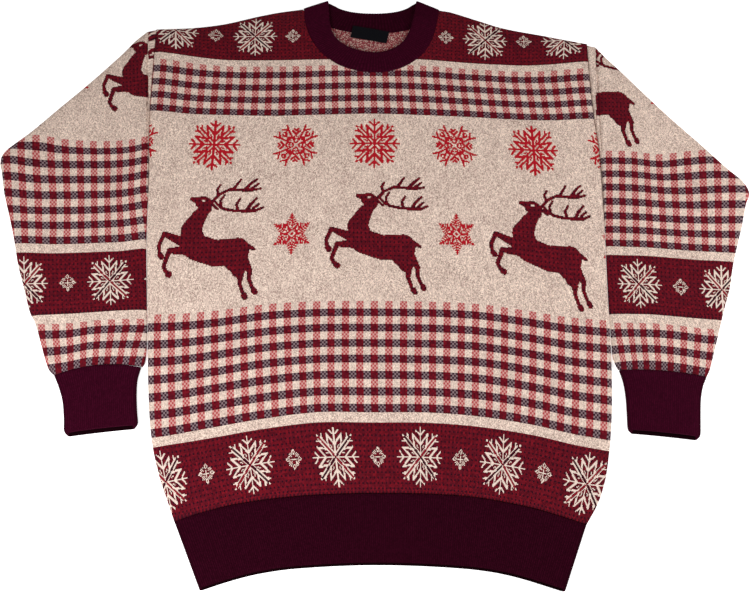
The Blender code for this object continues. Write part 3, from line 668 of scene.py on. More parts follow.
# %% Motif tables
# from along, from aside, to along, to aside, half width, half width at the end
STAR_FLAKE = (
    (1.6, 0, 9.5, 0, 0.64, 0.62), (9.5, 0, 17.0, 0, 0.7, 0.7), (16.8, 0, 24.0, 0, 0.8, 0.7),
    (18.2, 0.3, 21.8, 4.7, 0.85, 0.7), (10.4, 0.2, 18.6, 7.9, 1.1, 0.85),
    (18.6, 7.9, 6.5, 6.0, 0.85, 1.0), (7.2, 2.7, 9.7, 3.8, 0.55, 0.55),
    (2.6, 0.3, 16.8, 14.6, 0.6, 0.7), (14.6, 12.7, 18.9, 13.1, 0.75, 0.7),
    (17.2, 17.2, 17.8, 17.8, 0.9, 0.9), (0, 0, 0.6, 0, 1.3, 1.3))
STAR_FLAKE_DIAGONAL = ((0, 0, 16.4, 16.4, 0.66, 0.66),)
BRANCH_FLAKE = (
    (5.5, 2.3, 14.9, 7.4, 0.8, 0.9), (14.9, 7.4, 20.6, 9.0, 0.95, 0.7),
    (14.9, 7.6, 16.3, 13.6, 0.8, 0.7), (14.9, 0, 16.8, 1.9, 0.8, 0.8),
    (11.3, 0, 14.4, 3.4, 1.0, 1.0), (9.2, 0, 11.3, 0, 0.6, 0.8), (8.4, 1.7, 9.2, 1.9, 0.7, 0.7),
    (9.4, 9.4, 12.6, 9.6, 1.0, 0.9), (12.6, 9.6, 12.9, 11.4, 0.9, 0.7),
    (5.0, 5.0, 8.4, 8.4, 0.5, 0.7), (7.4, 4.9, 8.2, 6.0, 0.8, 0.8), (2.6, 0, 3.4, 1.6, 0.8, 0.8),
    (6.4, 0.9, 5.2, 2.6, 0.7, 0.8))
# a sixth of a six-armed snowflake: along an arm, away from it
FERN_FLAKE = (
    (9.5, 0, 19.3, 0, 0.55, 0.75), (17.4, 0, 18.0, 1.3, 0.7, 0.5),
    (15.0, 0.4, 15.9, 1.9, 0.8, 0.7), (12.6, 0.6, 13.9, 3.1, 0.75, 0.7),
    (10.2, 0.8, 12.0, 4.3, 0.75, 0.8), (8.2, 0.6, 10.0, 4.9, 0.7, 0.7),
    (3.4, 0.4, 9.4, 5.9, 0.8, 0.75), (3.6, 2.6, 8.2, 4.4, 0.6, 0.6), (5.9, 0, 6.9, 0, 0.8, 0.6))
SMALL_FLAKE = (
    (9.3, 0, 6.9, 1.7, 0.5, 0.48), (6.9, 1.7, 4.8, 0.2, 0.46, 0.45), (0, 0, 3.2, 0, 0.36, 0.36),
    (2.5, 2.5, 5.3, 5.3, 0.42, 0.4), (4.3, 2.3, 6.3, 3.8, 0.36, 0.34))


def chains(*chained):
    """Strokes that run from point to point; each point is x, y and half width."""
    return tuple((x0, y0, x1, y1, start, end) for chain in chained
                 for (x0, y0, start), (x1, y1, end) in zip(chain, chain[1:]))


# the reindeer's places run from the motif's middle
REINDEER = chains(
    # muzzle, cheek and ear
    ((-20.4, 37.4, 2), (-7.5, 35, 5.2), (-3.5, 33, 4.8)),
    ((-13.5, 32.8, 3), (-5, 29, 5.4)),
    ((-2.5, 33, 1.9), (4.5, 30, 0.8)),
    # neck, chest, belly, rump and the near hind leg with its hoof
    ((-5, 30, 4.8), (-13.5, 19.5, 7.7), (-20, 7.5, 10.7), (-15, -6.5, 11.9), (5, -12.6, 12),
     (26, -11.5, 12), (24.5, -19, 11.5), (27.7, -28.5, 7.3), (30, -35, 3.3), (29.5, -41, 2.2)),
    ((29.5, -41, 2.1), (32.5, -49.5, 1.9)),
    ((34.2, -52.5, 3), (35.5, -54.3, 2.8)),
    # tail
    ((34.5, -7, 2.8), (42.5, -11.2, 1.5)),
    # far hind leg with its hoof
    ((33, -21, 4.6), (39, -31, 2.8)),
    ((39, -31, 2.4), (38.5, -38.5, 2.1)),
    ((38.5, -38.5, 2), (42, -47, 1.9)),
    ((43.6, -49.3, 2.9), (44.6, -50.8, 2.8)),
    # the two forelegs with their hooves
    ((-26, -3, 5), (-47, 5, 2.4)),
    ((-47, 5, 2.3), (-52, -5.5, 2), (-51, -11.5, 2)),
    ((-50.3, -13, 2.8), (-49, -14.7, 3)),
    ((-24, -9.5, 4.3), (-41, -9.8, 2.6), (-46.3, -23, 2.1), (-43.8, -27.5, 2)),
    ((-41.8, -29.4, 2.9), (-40.1, -30, 2.9)))
ANTLERS = chains(
    # upper beam and its tines
    ((0, 34.6, 1.7), (7.5, 42.2, 1.5), (16.5, 46.3, 1.5), (38.5, 45.2, 1.5), (47, 46.8, 1.1)),
    ((6, 41.5, 1.8), (4.2, 46.4, 1.4), (7, 50.8, 1.2)),
    ((20.5, 46.5, 1.9), (23.5, 51, 1.5), (27, 55.8, 1.2)),
    ((32.5, 46.3, 2.2), (36.5, 51.2, 1.7), (42.6, 56, 1.2)),
    ((38, 46.8, 1.6), (44.8, 51.6, 1.1)),
    # ears at their foot
    ((0, 33, 1.6), (6, 28, 1.3)),
    ((3.5, 34.5, 1.3), (9, 29, 1.3)),
    # lower beam and its tines
    ((8.5, 31.2, 1.7), (12, 28, 1.5), (24, 25.7, 1.5), (43.2, 25.2, 1.5), (50.3, 28.2, 1.2)),
    ((9.5, 30.5, 1.6), (8.8, 36, 1.4), (12.2, 41, 1.2)),
    ((26, 26.5, 1.8), (24.8, 32, 1.5), (28.2, 37.2, 1.2)),
    ((35.8, 27, 2.1), (38.4, 31.4, 1.7), (44.3, 37.2, 1.2)),
    ((41, 27.4, 1.6), (46.5, 31.8, 1.1)))
REINDEER_EYE = ((-9.2, 36.2, -7.4, 36.0, 0.9, 0.9),)
print("strokes of the reindeer:", len(REINDEER + ANTLERS))


# %% Folding the plane round a motif
def from_middle(value, middle, repeat):
    """Distance from the nearest of a row of middles, to both sides."""
    return work("WRAP", value - middle, repeat / 2, -repeat / 2)


def fold_eight(x, y, scale_x=1.0, scale_y=1.0):
    x, y = abs(x * scale_x), abs(y * scale_y)
    return vector_of(work("MAXIMUM", x, y), work("MINIMUM", x, y))


def fold_six(x, y):
    """Folds to one arm; the first arm points up."""
    x, y = abs(x), abs(y)
    along = x * 0.866 + y * 0.5
    aside = y * 0.866 - x * 0.5
    upright = y > along
    return vector_of(either(y, along), abs(aside + upright * (x - aside)))


print("folds for eight and for six arms")

# %% [markdown]
# ## The jacquard cloth
# Jacquard is knitted from a few yarns that change places: an oatmeal melange, a bright
# red, a dark wine and near black. Each chart is read at the middle of a stitch, and a
# stitch has the shape of a V, so the edges of every motif step from stitch to stitch.
# The nodes do all of that from two UV maps.

# %% Yarns
OATMEAL = (0.59, 0.46, 0.385, 1.0)
OATMEAL_LIGHT = (0.97, 0.79, 0.66, 1.0)
OATMEAL_DARK = (0.25, 0.172, 0.142, 1.0)
PALE_YARN = (0.70, 0.57, 0.49, 1.0)
OATMEAL_ROSE = (0.60, 0.40, 0.36, 1.0)
BRIGHT_RED, CRIMSON = (0.38, 0.009, 0.017, 1.0), (0.23, 0.008, 0.018, 1.0)
WINE, DEEP_WINE = (0.110, 0.0066, 0.0138, 1.0), (0.040, 0.0012, 0.0036, 1.0)
NEAR_BLACK = (0.020, 0.0035, 0.009, 1.0)
# ASH_AND_SHADE is the oatmeal stitch of a dark check: darker partly from dark yarn showing through
# and partly as painted shade
ASH_AND_SHADE, SOOT = (0.21, 0.145, 0.155, 1.0), (0.030, 0.011, 0.019, 1.0)
BLUSH, ROSE = (0.55, 0.285, 0.255, 1.0), (0.38, 0.056, 0.060, 1.0)
FLOAT_RED, FLOAT_DUSK = (0.26, 0.030, 0.040, 1.0), (0.22, 0.085, 0.085, 1.0)
# the sheen of each wool
WARM_BLOOM, PLUM_BLOOM = (0.8, 0.5, 0.45, 1.0), (0.45, 0.05, 0.18, 1.0)
GREY_BLOOM = (0.3, 0.3, 0.35, 1.0)
print("oatmeal yarn:", OATMEAL[:3])


# %% Wool
def wool(shader, colour, height, bloom, roughness=0.85, bump=0.5, depth=0.0005):
    """Joins a colour and a height to the shader, with the dull bloom of wool."""
    tree = bench["tree"]
    colour = colour.socket if isinstance(colour, Num) else colour
    tree.links.new(colour, shader.inputs["Base Color"])
    shader.inputs["Roughness"].default_value = roughness
    shader.inputs["Specular IOR Level"].default_value = 0.02
    shader.inputs["Sheen Weight"].default_value = 0.08
    shader.inputs["Sheen Roughness"].default_value = 0.4
    shader.inputs["Sheen Tint"].default_value = bloom
    normal = tree.nodes.new("ShaderNodeBump")
    normal.inputs["Strength"].default_value = bump
    normal.inputs["Distance"].default_value = depth
    tree.links.new(height.socket, normal.inputs["Height"])
    tree.links.new(normal.outputs["Normal"], shader.inputs["Normal"])


print("sheen of the jacquard wool:", WARM_BLOOM[:3])

# %% Stitches
# width of a knitted column, in columns of the stitch map
STITCH = 1.75
# the plaids' first rows on the body, the chest and the wrists, and the repeat of a check
FIRST_CHECK_ROW, CHEST_CHECK_ROW, WRIST_CHECK_ROW, CHECK = 67.0, 349.0, -50.0, 14


def stitch_shape(u, v, size=STITCH):
    """Height of a column of V-shaped stitches, and the count of the stitch."""
    u, v = u * (1 / size), v * (1 / size)
    aside = abs(part_of(u) - 0.5)
    slanted = v + aside * 0.8
    leg = abs(aside - 0.25) * 4.0
    loop = abs(part_of(slanted) - 0.5) * 2.0
    height = (1.0 - leg * leg) * (1.0 - loop * loop * 0.6)
    return height, floor_of(u), floor_of(v + aside * 0.3)


def half_stitch(u, v):
    """Middle of the half stitch that a place is on: each leg of the V is one."""
    half = STITCH / 2
    up = floor_of((v - FIRST_CHECK_ROW) * (1 / half)) + 0.5
    return (floor_of(u * (1 / half)) + 0.5) * half, up * half + FIRST_CHECK_ROW


print("a stitch is", STITCH, "columns wide and a check", CHECK // 2)


# %% Melange yarn
# the slow change of tone along the yarn
CLOUD_SCALE, CLOUD_DETAIL = 0.05, 2.0


def random_numbers(column, row):
    """Three numbers from 0 to 1 that belong to one stitch."""
    place = vector_of(column, row)
    noise = add_node("ShaderNodeTexWhiteNoise", place, out=1, noise_dimensions="2D")
    split = add_node("ShaderNodeSeparateColor", noise).node
    return [Num(split.outputs[i]) for i in range(3)]


def melange(u, v, column, row):
    """Oatmeal yarn: fibres of many tones, mixed at random; also passes on the grain."""
    grain, hue, rosy = random_numbers(floor_of(u * 1.25), floor_of(v * 1.1))
    streak, _, _ = random_numbers(column, floor_of(v * 0.25))
    cloud = Num(add_node("ShaderNodeTexNoise", vector_of(u, v), None, CLOUD_SCALE, CLOUD_DETAIL,
                         noise_dimensions="2D"))
    amount = grain * 0.85 + streak * 0.15 + cloud * 0.3 - 0.15
    colour = blend_colours(amount, OATMEAL_DARK, OATMEAL_LIGHT)
    colour = blend_colours((hue > 0.8) * 0.4, colour, OATMEAL)
    return blend_colours(rosy * rosy * 0.45, colour, OATMEAL_ROSE), grain


print("melange of oatmeal from", OATMEAL_DARK[:3], "to", OATMEAL_LIGHT[:3])

# %% The jacquard and its plaid
# first and last rows
BODY_PLAID, CHEST_PLAID, WRIST_PLAID = (67, 165), (349, 404), (-70, -9)
HEM_BAND, LINKING_ROWS = (0, 58), (0.0, 2.6)
UPPER_ROWS, SHOULDER_BAND_ROW = 300.0, 411.0
# specks a column, specks a row, and how near to a speck's middle a stitch is dark
SPECKS_ACROSS, SPECKS_UP, SPECK_EDGE = 0.243, 0.231, 0.745
LINKS_A_COLUMN = 0.27


def jacquard(name, motifs):
    """The jacquard cloth; motifs adds this band's figures to it."""
    material, shader = new_material(name)
    u, v = uv_numbers("stitches")
    height, stitch, course = stitch_shape(u, v - FIRST_CHECK_ROW)
    column, row = half_stitch(u, v)

    # the plaid: rows of seven, dark and light, and columns of seven, red and oatmeal
    on_trunk = either(between(row, *BODY_PLAID), between(row, *CHEST_PLAID))
    in_plaid = either(on_trunk, between(row, *WRIST_PLAID))
    to_chest, to_wrist = CHEST_CHECK_ROW - FIRST_CHECK_ROW, FIRST_CHECK_ROW - WRIST_CHECK_ROW
    start = FIRST_CHECK_ROW + (row > UPPER_ROWS) * to_chest - (row < 0.0) * to_wrist
    dark_row = either(part_of((row - start) * (1 / CHECK)) < 0.5, row < WRIST_CHECK_ROW)
    red_column = part_of((column + CHECK / 4) * (1 / CHECK)) < 0.5
    chequer = part_of((stitch + course) * 0.5) < 0.25
    ground = either(between(row, *HEM_BAND), row > SHOULDER_BAND_ROW)
    solid = in_plaid * dark_row * red_column
    dark_check = in_plaid * dark_row * (1.0 - red_column)
    red_check = in_plaid * (1.0 - dark_row) * red_column

    # specks on the wine ground, at about every fourth column and row
    spot = abs(part_of(u * SPECKS_ACROSS) - 0.5) + abs(part_of(v * SPECKS_UP) - 0.5)
    speck = (spot > SPECK_EDGE) * 1.0

    oatmeal, grain = melange(u, v, stitch, course)
    lively, fleck, _ = random_numbers(stitch, course)

    place_u, place_v = uv_numbers("motifs")
    figures = motifs(*half_stitch(place_u, place_v))

    speckled = either(ground, figures.get("wine", 0.0))
    wine = either(speckled, solid)
    colour = blend_colours(in_plaid * 0.25, oatmeal, PALE_YARN)
    colour = blend_colours(wine, colour, blend_colours(lively * 0.6, WINE, DEEP_WINE))
    colour = blend_colours(wine * fleck * fleck * 0.3, colour, BRIGHT_RED)
    # the dark check's oatmeal stitches are darkened: partly dark yarn showing through, partly
    # painted shade
    colour = blend_colours(dark_check, colour, blend_colours(chequer, ASH_AND_SHADE, SOOT))
    colour = blend_colours(red_check, colour, blend_colours(chequer, BLUSH, ROSE))
    colour = blend_colours(either(wine * grain * 0.25, speckled * speck), colour, NEAR_BLACK)
    # the linking stitches along the hem seam
    linking = between(v, *LINKING_ROWS) * (part_of(u * LINKS_A_COLUMN) < 0.5)
    colour = blend_colours(linking * 0.75, colour, NEAR_BLACK)
    colour = blend_colours(figures.get("red", 0.0), colour, BRIGHT_RED)
    if "oatmeal" in figures:
        colour = blend_colours(figures["oatmeal"], colour, PALE_YARN)
        colour = blend_colours(figures["line"], colour, CRIMSON)
        colour = blend_colours(figures["black"], colour, NEAR_BLACK)
    wool(shader, colour, height, WARM_BLOOM)
    print(name, len(material.node_tree.nodes), "nodes")
    return material


print("plaid of the body: rows", *BODY_PLAID)

# %% Charts of the three kinds of band
# columns from one large snowflake, or one reindeer, to the next
HEM_REPEAT, SHOULDER_REPEAT, DEER_REPEAT = 86.0, 83.0, 164.0
# the rows through the middles of the motifs
HEM_FLAKE_ROW, FERN_ROW, DEER_ROW, CHEST_FLAKE_ROW = 30.0, 229.5, 228.0, 318.0
# the columns of a large and of a small snowflake, in the hem's band and in the shoulders'
LARGE_FLAKE_COLUMNS, SMALL_FLAKE_COLUMNS = (44.0, -44.0), (1.0, -3.0)
HEM_FLAKE_ROWS = (1, 58)
# a plain place next to the neckband: its columns and rows
PLAIN_COLUMNS, PLAIN_ROWS = (-66, -56), (412, 430)


def band_motifs(column, row):
    """Large star flakes and small flakes in oatmeal on the wine ground."""
    high = row > UPPER_ROWS
    low = 1.0 - high

    def columns_from(hem_middle, shoulder_middle):
        """Columns from the nearest motif, in the hem's band and in the shoulders'."""
        at_hem = from_middle(column, hem_middle, HEM_REPEAT)
        at_shoulders = from_middle(column, shoulder_middle, SHOULDER_REPEAT)
        return at_hem * low + at_shoulders * high

    aside = columns_from(*LARGE_FLAKE_COLUMNS)
    up = row - HEM_FLAKE_ROW - high * SHOULDER_BAND_ROW
    place = fold_eight(aside, up, 1.04, 1.0)
    flake = draw(place, STAR_FLAKE, bolder=-0.16)
    diagonal = draw(place, STAR_FLAKE_DIAGONAL)
    # one diagonal is black and the other red, and they change places from flake to flake
    other = part_of(floor_of((column - 1.0) * (1 / HEM_REPEAT)) * 0.5) * 4.0
    falling = (aside * up * (1.0 - other)) < 0.0
    small_aside = columns_from(*SMALL_FLAKE_COLUMNS)
    small = draw(fold_eight(small_aside, up, 1.2, 1.18), SMALL_FLAKE)
    plain = between(column, *PLAIN_COLUMNS) * between(row, *PLAIN_ROWS)
    inside = either(between(row, *HEM_FLAKE_ROWS), high - plain)
    return {"oatmeal": either(flake, small) * inside, "black": diagonal * falling * inside,
            "line": diagonal * (1.0 - falling) * inside}


def deer_motifs(column, row):
    """Leaping reindeer, with a fern flake between two of them."""
    deer_place = vector_of(from_middle(column, 3.6, DEER_REPEAT), row - DEER_ROW)
    deer = draw(deer_place, REINDEER + ANTLERS) * (1.0 - draw(deer_place, REINDEER_EYE))
    aside = from_middle(column, DEER_REPEAT / 2, DEER_REPEAT)
    up = row - FERN_ROW
    fern = draw(fold_six(aside, up), FERN_FLAKE)
    ring = abs(aside) + abs(up)
    middle = either(ring < 1.9, between(ring, 3.6, 5.2))
    return {"wine": deer, "red": either(fern * (ring > 5.0), middle)}


def chest_motifs(column, row):
    """Star flakes and branch flakes by turns, in bright red on oatmeal."""
    up = row - CHEST_FLAKE_ROW
    star_place = fold_eight(from_middle(column, 0.0, DEER_REPEAT), up, 0.95, 0.99)
    star = draw(star_place, STAR_FLAKE, bolder=0.3)
    branch_aside = from_middle(column, DEER_REPEAT / 2, DEER_REPEAT)
    branch = draw(fold_eight(branch_aside, up, 0.94, 1.0), BRANCH_FLAKE, bolder=0.2)
    return {"red": either(star, branch)}


band_cloth = jacquard("jacquard_bands", band_motifs)
deer_cloth = jacquard("jacquard_reindeer", deer_motifs)
chest_cloth = jacquard("jacquard_chest", chest_motifs)

# %% [markdown]
# ## The wrong side of the cloth
# Behind a jacquard the yarns that aren't in use float from stitch to stitch, so the
# wrong side is a mottle of all of them, dusty pink from a distance.


# %% Wrong side
def wrong_side():
    material, shader = new_material("jacquard_wrong_side")
    u, v = uv_numbers("stitches")
    height, stitch, course = stitch_shape(u, v)
    pale, dark, deep = random_numbers(floor_of(u * 1.2), floor_of(v * 1.2))
    colour = blend_colours(pale > 0.32, OATMEAL, FLOAT_RED)
    colour = blend_colours(dark > 0.70, colour, WINE)
    colour = blend_colours(deep * 0.6, colour, FLOAT_DUSK)
    wool(shader, colour, height, WARM_BLOOM)
    return material


floats = wrong_side()
print(floats.name)

# %% [markdown]
# ## The plum rib
# Cuffs, hem and neckband are a fine 1x1 rib in plum so dark that it is nearly black in
# its grooves, and the finish paints the grooves darker still as painted shade. The ribs are real
# relief; the finish adds the stitches on each rib and the small changes of tone that a dyed yarn
# has. The cuffs' yarn is a little lighter, and inside the cuffs and the hem, where hardly any light
# gets in, the plum is painted darkest as painted shade.


# %% Plum rib
# finish, its yarn, the yarn's lightest tone, and its tone in a groove, which is painted shade
PLUMS = (
    ("plum_rib_wool", (0.020, 0.0005, 0.0048), (0.052, 0.0024, 0.0142), (0.014, 0.0005, 0.0036)),
    ("plum_cuff_wool", (0.030, 0.0010, 0.0078), (0.076, 0.0036, 0.0210), (0.022, 0.0009, 0.0060)),
    # painted shade: the lining of cuffs and hem, darkest because little light gets in there
    ("plum_cuff_painted_shade", (0.007, 0.0003, 0.0018), (0.010, 0.0004, 0.0026), (0.004, 0.0002, 0.0010)))


def rib_wool(name, *tones):
    plum, plum_light, groove_painted_shade = [(*tone, 1.0) for tone in tones]
    material, shader = new_material(name)
    u, v = uv_numbers("stitches")
    height, stitch, course = stitch_shape(u, v, 1.0)
    lively, _, _ = random_numbers(stitch, course)
    groove = abs(part_of(u) - 0.5) * 2.0
    colour = blend_colours(lively * 0.65, plum, plum_light)
    # painted shade: the plum darkens towards the grooves between the ribs
    colour = blend_colours((1.0 - groove) * 0.7, groove_painted_shade, colour)
    wool(shader, colour, height, PLUM_BLOOM, bump=0.4)
    print(name)
    return material


plum_rib, plum_cuff, plum_painted_shade = [rib_wool(*plum) for plum in PLUMS]

# %% [markdown]
# ## The label tape
# A woven black tape, left bare: its weave is a fine chequer of warp and weft.


# %% Label tape
def label_weave():
    material, shader = new_material("black_label_tape")
    u, v = uv_numbers("stitches")
    warp, weft = part_of(u * 2.5), part_of(v * 2.5)
    height = either(abs(warp - 0.5), abs(weft - 0.5))
    colour = blend_colours(height, (0.003, 0.003, 0.004, 1.0), (0.008, 0.008, 0.010, 1.0))
    wool(shader, colour, height, GREY_BLOOM, roughness=0.5, bump=0.4, depth=0.0002)
    return material


tape = label_weave()
print(tape.name)

# %% [markdown]
# ## The front and the back
# Each is one jacquard panel from hem rib to shoulders. Its plan is spanned between its
# four edges, as a pattern piece is drawn. The front's height is a soft crown with the
# folds on it, and its edges roll over towards the seams. The back lies flat on the table,
# under everything, and its wrong side shows inside the neck.

# %% Which chart a face shows
JACQUARD = (band_cloth, deer_cloth, chest_cloth, floats)
DEER_FROM, CHEST_FROM, CHEST_TO = 170, 291, 345


def chart_of(quads, stitches, inside):
    """Which cloth a face shows: bands and plaids, reindeer, chest, or the wrong side."""
    row = stitches[quads, 1].mean(axis=1)
    chart = np.where((row > CHEST_FROM) & (row < CHEST_TO), 2, 0)
    chart = np.where((row > DEER_FROM) & (row <= CHEST_FROM), 1, chart)
    return np.where(inside, 3, chart)


print("rows of the reindeer:", DEER_FROM, "to", CHEST_FROM)

# %% Plan of the body panels
# the share of the top edge where the neckline runs
NECK_FROM, NECK_TO = 0.27, 0.70
BODY_CROWN, CROWN_REACH, HEM_REACH = 2.7, 38.0, 14.0
# share of the wall that is left at the front's edges, and how far the back's edges lift
EDGE_THIN, BACK_EDGE_LIFT = 0.35, 0.9


def seam_outside_band(stations, part):
    places = rows_of(stations)(part * (len(stations) - 1))
    edge_x, edge_y, seam_x, seam_y = np.moveaxis(places, -1, 0)
    away = np.hypot(seam_x - edge_x, seam_y - edge_y)
    return (seam_x + (seam_x - edge_x) / away * SEAM_GAP,
            seam_y + (seam_y - edge_y) / away * SEAM_GAP)


def top_edge(u, stations):
    """Shoulder, neckline and shoulder, for u from 0 to 1."""
    part = np.clip((u - NECK_FROM) / (NECK_TO - NECK_FROM), 0, 1)
    neck_x, neck_y = seam_outside_band(stations, part)
    first_x, last_x = neck_x[0], neck_x[-1]
    left = LEFT_SHOULDER[0][0] + (first_x - LEFT_SHOULDER[0][0]) * u / NECK_FROM
    right = last_x + (RIGHT_SHOULDER[-1][0] - last_x) * (u - NECK_TO) / (1 - NECK_TO)
    x = np.where(u < NECK_FROM, left, np.where(u > NECK_TO, right, neck_x))
    y = np.where(u > NECK_TO, right_shoulder_y(right), neck_y)
    return np.stack([x, np.where(u < NECK_FROM, left_shoulder_y(left), y)], -1)


def bottom_edge(u):
    x = key_of(HEM_SEAM, u)
    return np.stack([x, hem_seam_y(x)], -1)


def side_edge(table, v):
    y = key_of(table, v)
    return np.stack([line_of(table)(y), y], -1)


def body_plan(u, v, stations):
    """Places of a body panel, one row of points for each v."""
    low, high = bottom_edge(u)[None], top_edge(u, stations)[None]
    left, right = side_edge(LEFT_SIDE, v)[:, None], side_edge(RIGHT_SIDE, v)[:, None]
    across, up = u[None, :, None], v[:, None, None]
    corners = ((low[:, :1] * (1 - across) + low[:, -1:] * across) * (1 - up)
               + (high[:, :1] * (1 - across) + high[:, -1:] * across) * up)
    return low * (1 - up) + high * up + left * (1 - across) + right * across - corners


def shoulder_line_y(x):
    (left, left_y), (right, right_y) = LEFT_SHOULDER[-1], RIGHT_SHOULDER[0]
    across = left_y + np.clip((x - left) / (right - left), 0.0, 1.0) * (right_y - left_y)
    return np.where(x < left, left_shoulder_y(x), np.where(x > right, right_shoulder_y(x), across))


def fine_steps(count, edge=6, edge_share=0.012):
    """0 to 1 with a few close steps at both ends, for the rolled edges."""
    ends = edge_share * (np.arange(edge) / edge) ** 1.6
    middle = np.linspace(edge_share, 1 - edge_share, count)
    return np.concatenate([ends, middle, 1 - ends[::-1]])


print("front at half height runs from", np.round(side_edge(LEFT_SIDE, np.array([0.5])), 1).tolist())


# %% Front and back
def front_height(x, y, away):
    crown = np.minimum.reduce([
        swell(x - left_x(y), CROWN_REACH), swell(right_x(y) - x, CROWN_REACH),
        swell(shoulder_line_y(x) - y, CROWN_REACH), swell(y - hem_seam_y(x), HEM_REACH)])
    wall = KNIT_WALL * (EDGE_THIN + (1 - EDGE_THIN) * np.sqrt(swell(away, EDGE_ROLL)))
    return KNIT_WALL + REST_GAP + wall + crown * (BODY_CROWN + fold_lift(BODY_FOLDS, x, y))


def front_heights(x, y, away):
    return front_height(x, y, away), front_height(x, y, EDGE_ROLL) - KNIT_WALL


def back_heights(x, y, away):
    return np.full_like(x, KNIT_WALL), BACK_EDGE_LIFT * (1 - np.sqrt(swell(away, BACK_ROLL)))


def add_panel(name, u, v, stations, heights, wrong_side):
    """A body panel; heights gives its two faces, wrong_side is 1 above or -1 below."""
    plan = body_plan(u, v, stations)
    x, y = plan[..., 0], plan[..., 1]
    away = np.minimum.reduce([x - left_x(y), right_x(y) - x, y - hem_seam_y(x)])
    at_neck = ((u >= NECK_FROM) & (u <= NECK_TO))[None]
    away = np.maximum(np.where(at_neck, away, np.minimum(away, shoulder_line_y(x) - y)), 0.0)
    points, quads, side = slab_of(x, y, *heights(x, y, away))
    stitches = body_stitches(points[:, 0], points[:, 1])
    slots = chart_of(quads, stitches, side == wrong_side)
    return add_cloth(name, points, quads, slots, JACQUARD, stitches=stitches, motifs=stitches)


front = add_panel("front", fine_steps(158), fine_steps(172), BAND_FRONT, front_heights, -1)
back = add_panel("back", fine_steps(120), fine_steps(110), BAND_BACK[::-1], back_heights, 1)

# %% [markdown]
# ## Flattened tubes
# Sleeves, cuffs and the hem rib are tubes pressed flat. A loop runs over the upper
# layer, round a soft fold, back along the lower layer and round the other fold.


# %% Loops of a flattened tube
def tube_places(rows, top_count, bottom_count, fold_count):
    """How far across (0 to 1) and how far round (0 top, pi bottom) each point of each loop is."""
    across = [np.linspace(0, 1, top_count + 1), np.ones(fold_count - 1),
              np.linspace(1, 0, bottom_count + 1), np.zeros(fold_count - 1)]
    bend = np.arange(1, fold_count) / fold_count * math.pi
    turn = [np.zeros(top_count + 1), bend, np.full(bottom_count + 1, math.pi), math.pi - bend]
    return [np.tile(np.concatenate(part), (rows, 1)) for part in (across, turn)]


def tube_points(path, across, turn, radius, inset, rise, groove=0.0):
    """Points of loops; path(t) gives (x, y) for an array of parts from fold to fold."""
    first, last = path(np.zeros_like(across)), path(np.ones_like(across))
    length = np.hypot(last[..., 0] - first[..., 0], last[..., 1] - first[..., 1])
    end = radius / length
    t = end + across * (1 - 2 * end)
    centre = path(t)
    step = np.where(across > 0.5, 0.02, -0.02)
    tip = one_long(centre - path(t - step))
    reach = radius - inset - groove
    xy = centre + tip * (reach * np.sin(turn))[..., None]
    z = radius + reach * np.cos(turn)
    on_top = turn == 0.0
    z = z + np.where(on_top, rise(xy[..., 0], xy[..., 1], across), 0.0)
    return np.concatenate([xy, z[..., None]], -1)


def bowed(first, last, bow, t):
    """Places on shallow arcs, one arc for each row."""
    run = last - first
    along = one_long(run)
    side = np.stack([-along[..., 1], along[..., 0]], -1)
    return first + run * t[..., None] + side * (4 * bow * t * (1 - t))[..., None]


def add_tube(name, outer, inner, materials, stitches, motifs=None):
    """A tube of cloth from two sets of loops with the same number of points."""
    rows, columns = outer.shape[:2]
    count = rows * columns
    points = np.concatenate([outer.reshape(-1, 3), inner.reshape(-1, 3)])
    skin = grid_quads(rows, columns, 0, closed=True)
    lining = grid_quads(rows, columns, count, closed=True, flipped=True)
    first = np.arange(columns)
    last = first + (rows - 1) * columns
    ends = np.concatenate([rim_quads(first, first + count), rim_quads(last, last + count)[:, ::-1]])
    quads = np.concatenate([skin, ends, lining])
    if motifs is None:
        return add_cloth(name, points, quads, np.zeros(len(quads)), materials, stitches=stitches)
    slots = chart_of(quads, motifs, np.arange(len(quads)) >= len(skin) + len(ends))
    return add_cloth(name, points, quads, slots, materials, stitches=stitches, motifs=motifs)


print("loop of a sleeve:", tube_places(1, 150, 70, 8)[0].size, "points")

# %% [markdown]
# ## The sleeves
# Drop-shoulder sleeves: each is sewn to the straight side of the body and narrows to
# the cuff, where it is gathered. The upper layer is crowned and creased, and beside the
# armhole it sinks into a pleat, because a laid sleeve bends down from the shoulder.

# %% Sleeves
# height of the crown along a sleeve, at the cuff, just before the armhole and on its seam
SLEEVE_CROWN, CUFF_END_CROWN, ARMHOLE_CROWN, SEAM_CROWN = 2.4, 1.2, 1.6, 0.3
SLEEVE_RADIUS = KNIT_WALL + KNIT_FOLD
# rings past the last one where loops lie close, for the seam and its pleat
SEAM_STEPS = np.array([-0.12, -0.07, -0.03, 0, 0.05, 0.1, 0.16, 0.25, 0.4, 0.6, 0.8, 0.93, 1.0])
PLEAT_STEPS, PLEAT_DEPTHS = np.array([-0.3, -0.1, 0, 0.14, 0.8]), (0.0, 0.7, 2.8, 1.3, 0.0)


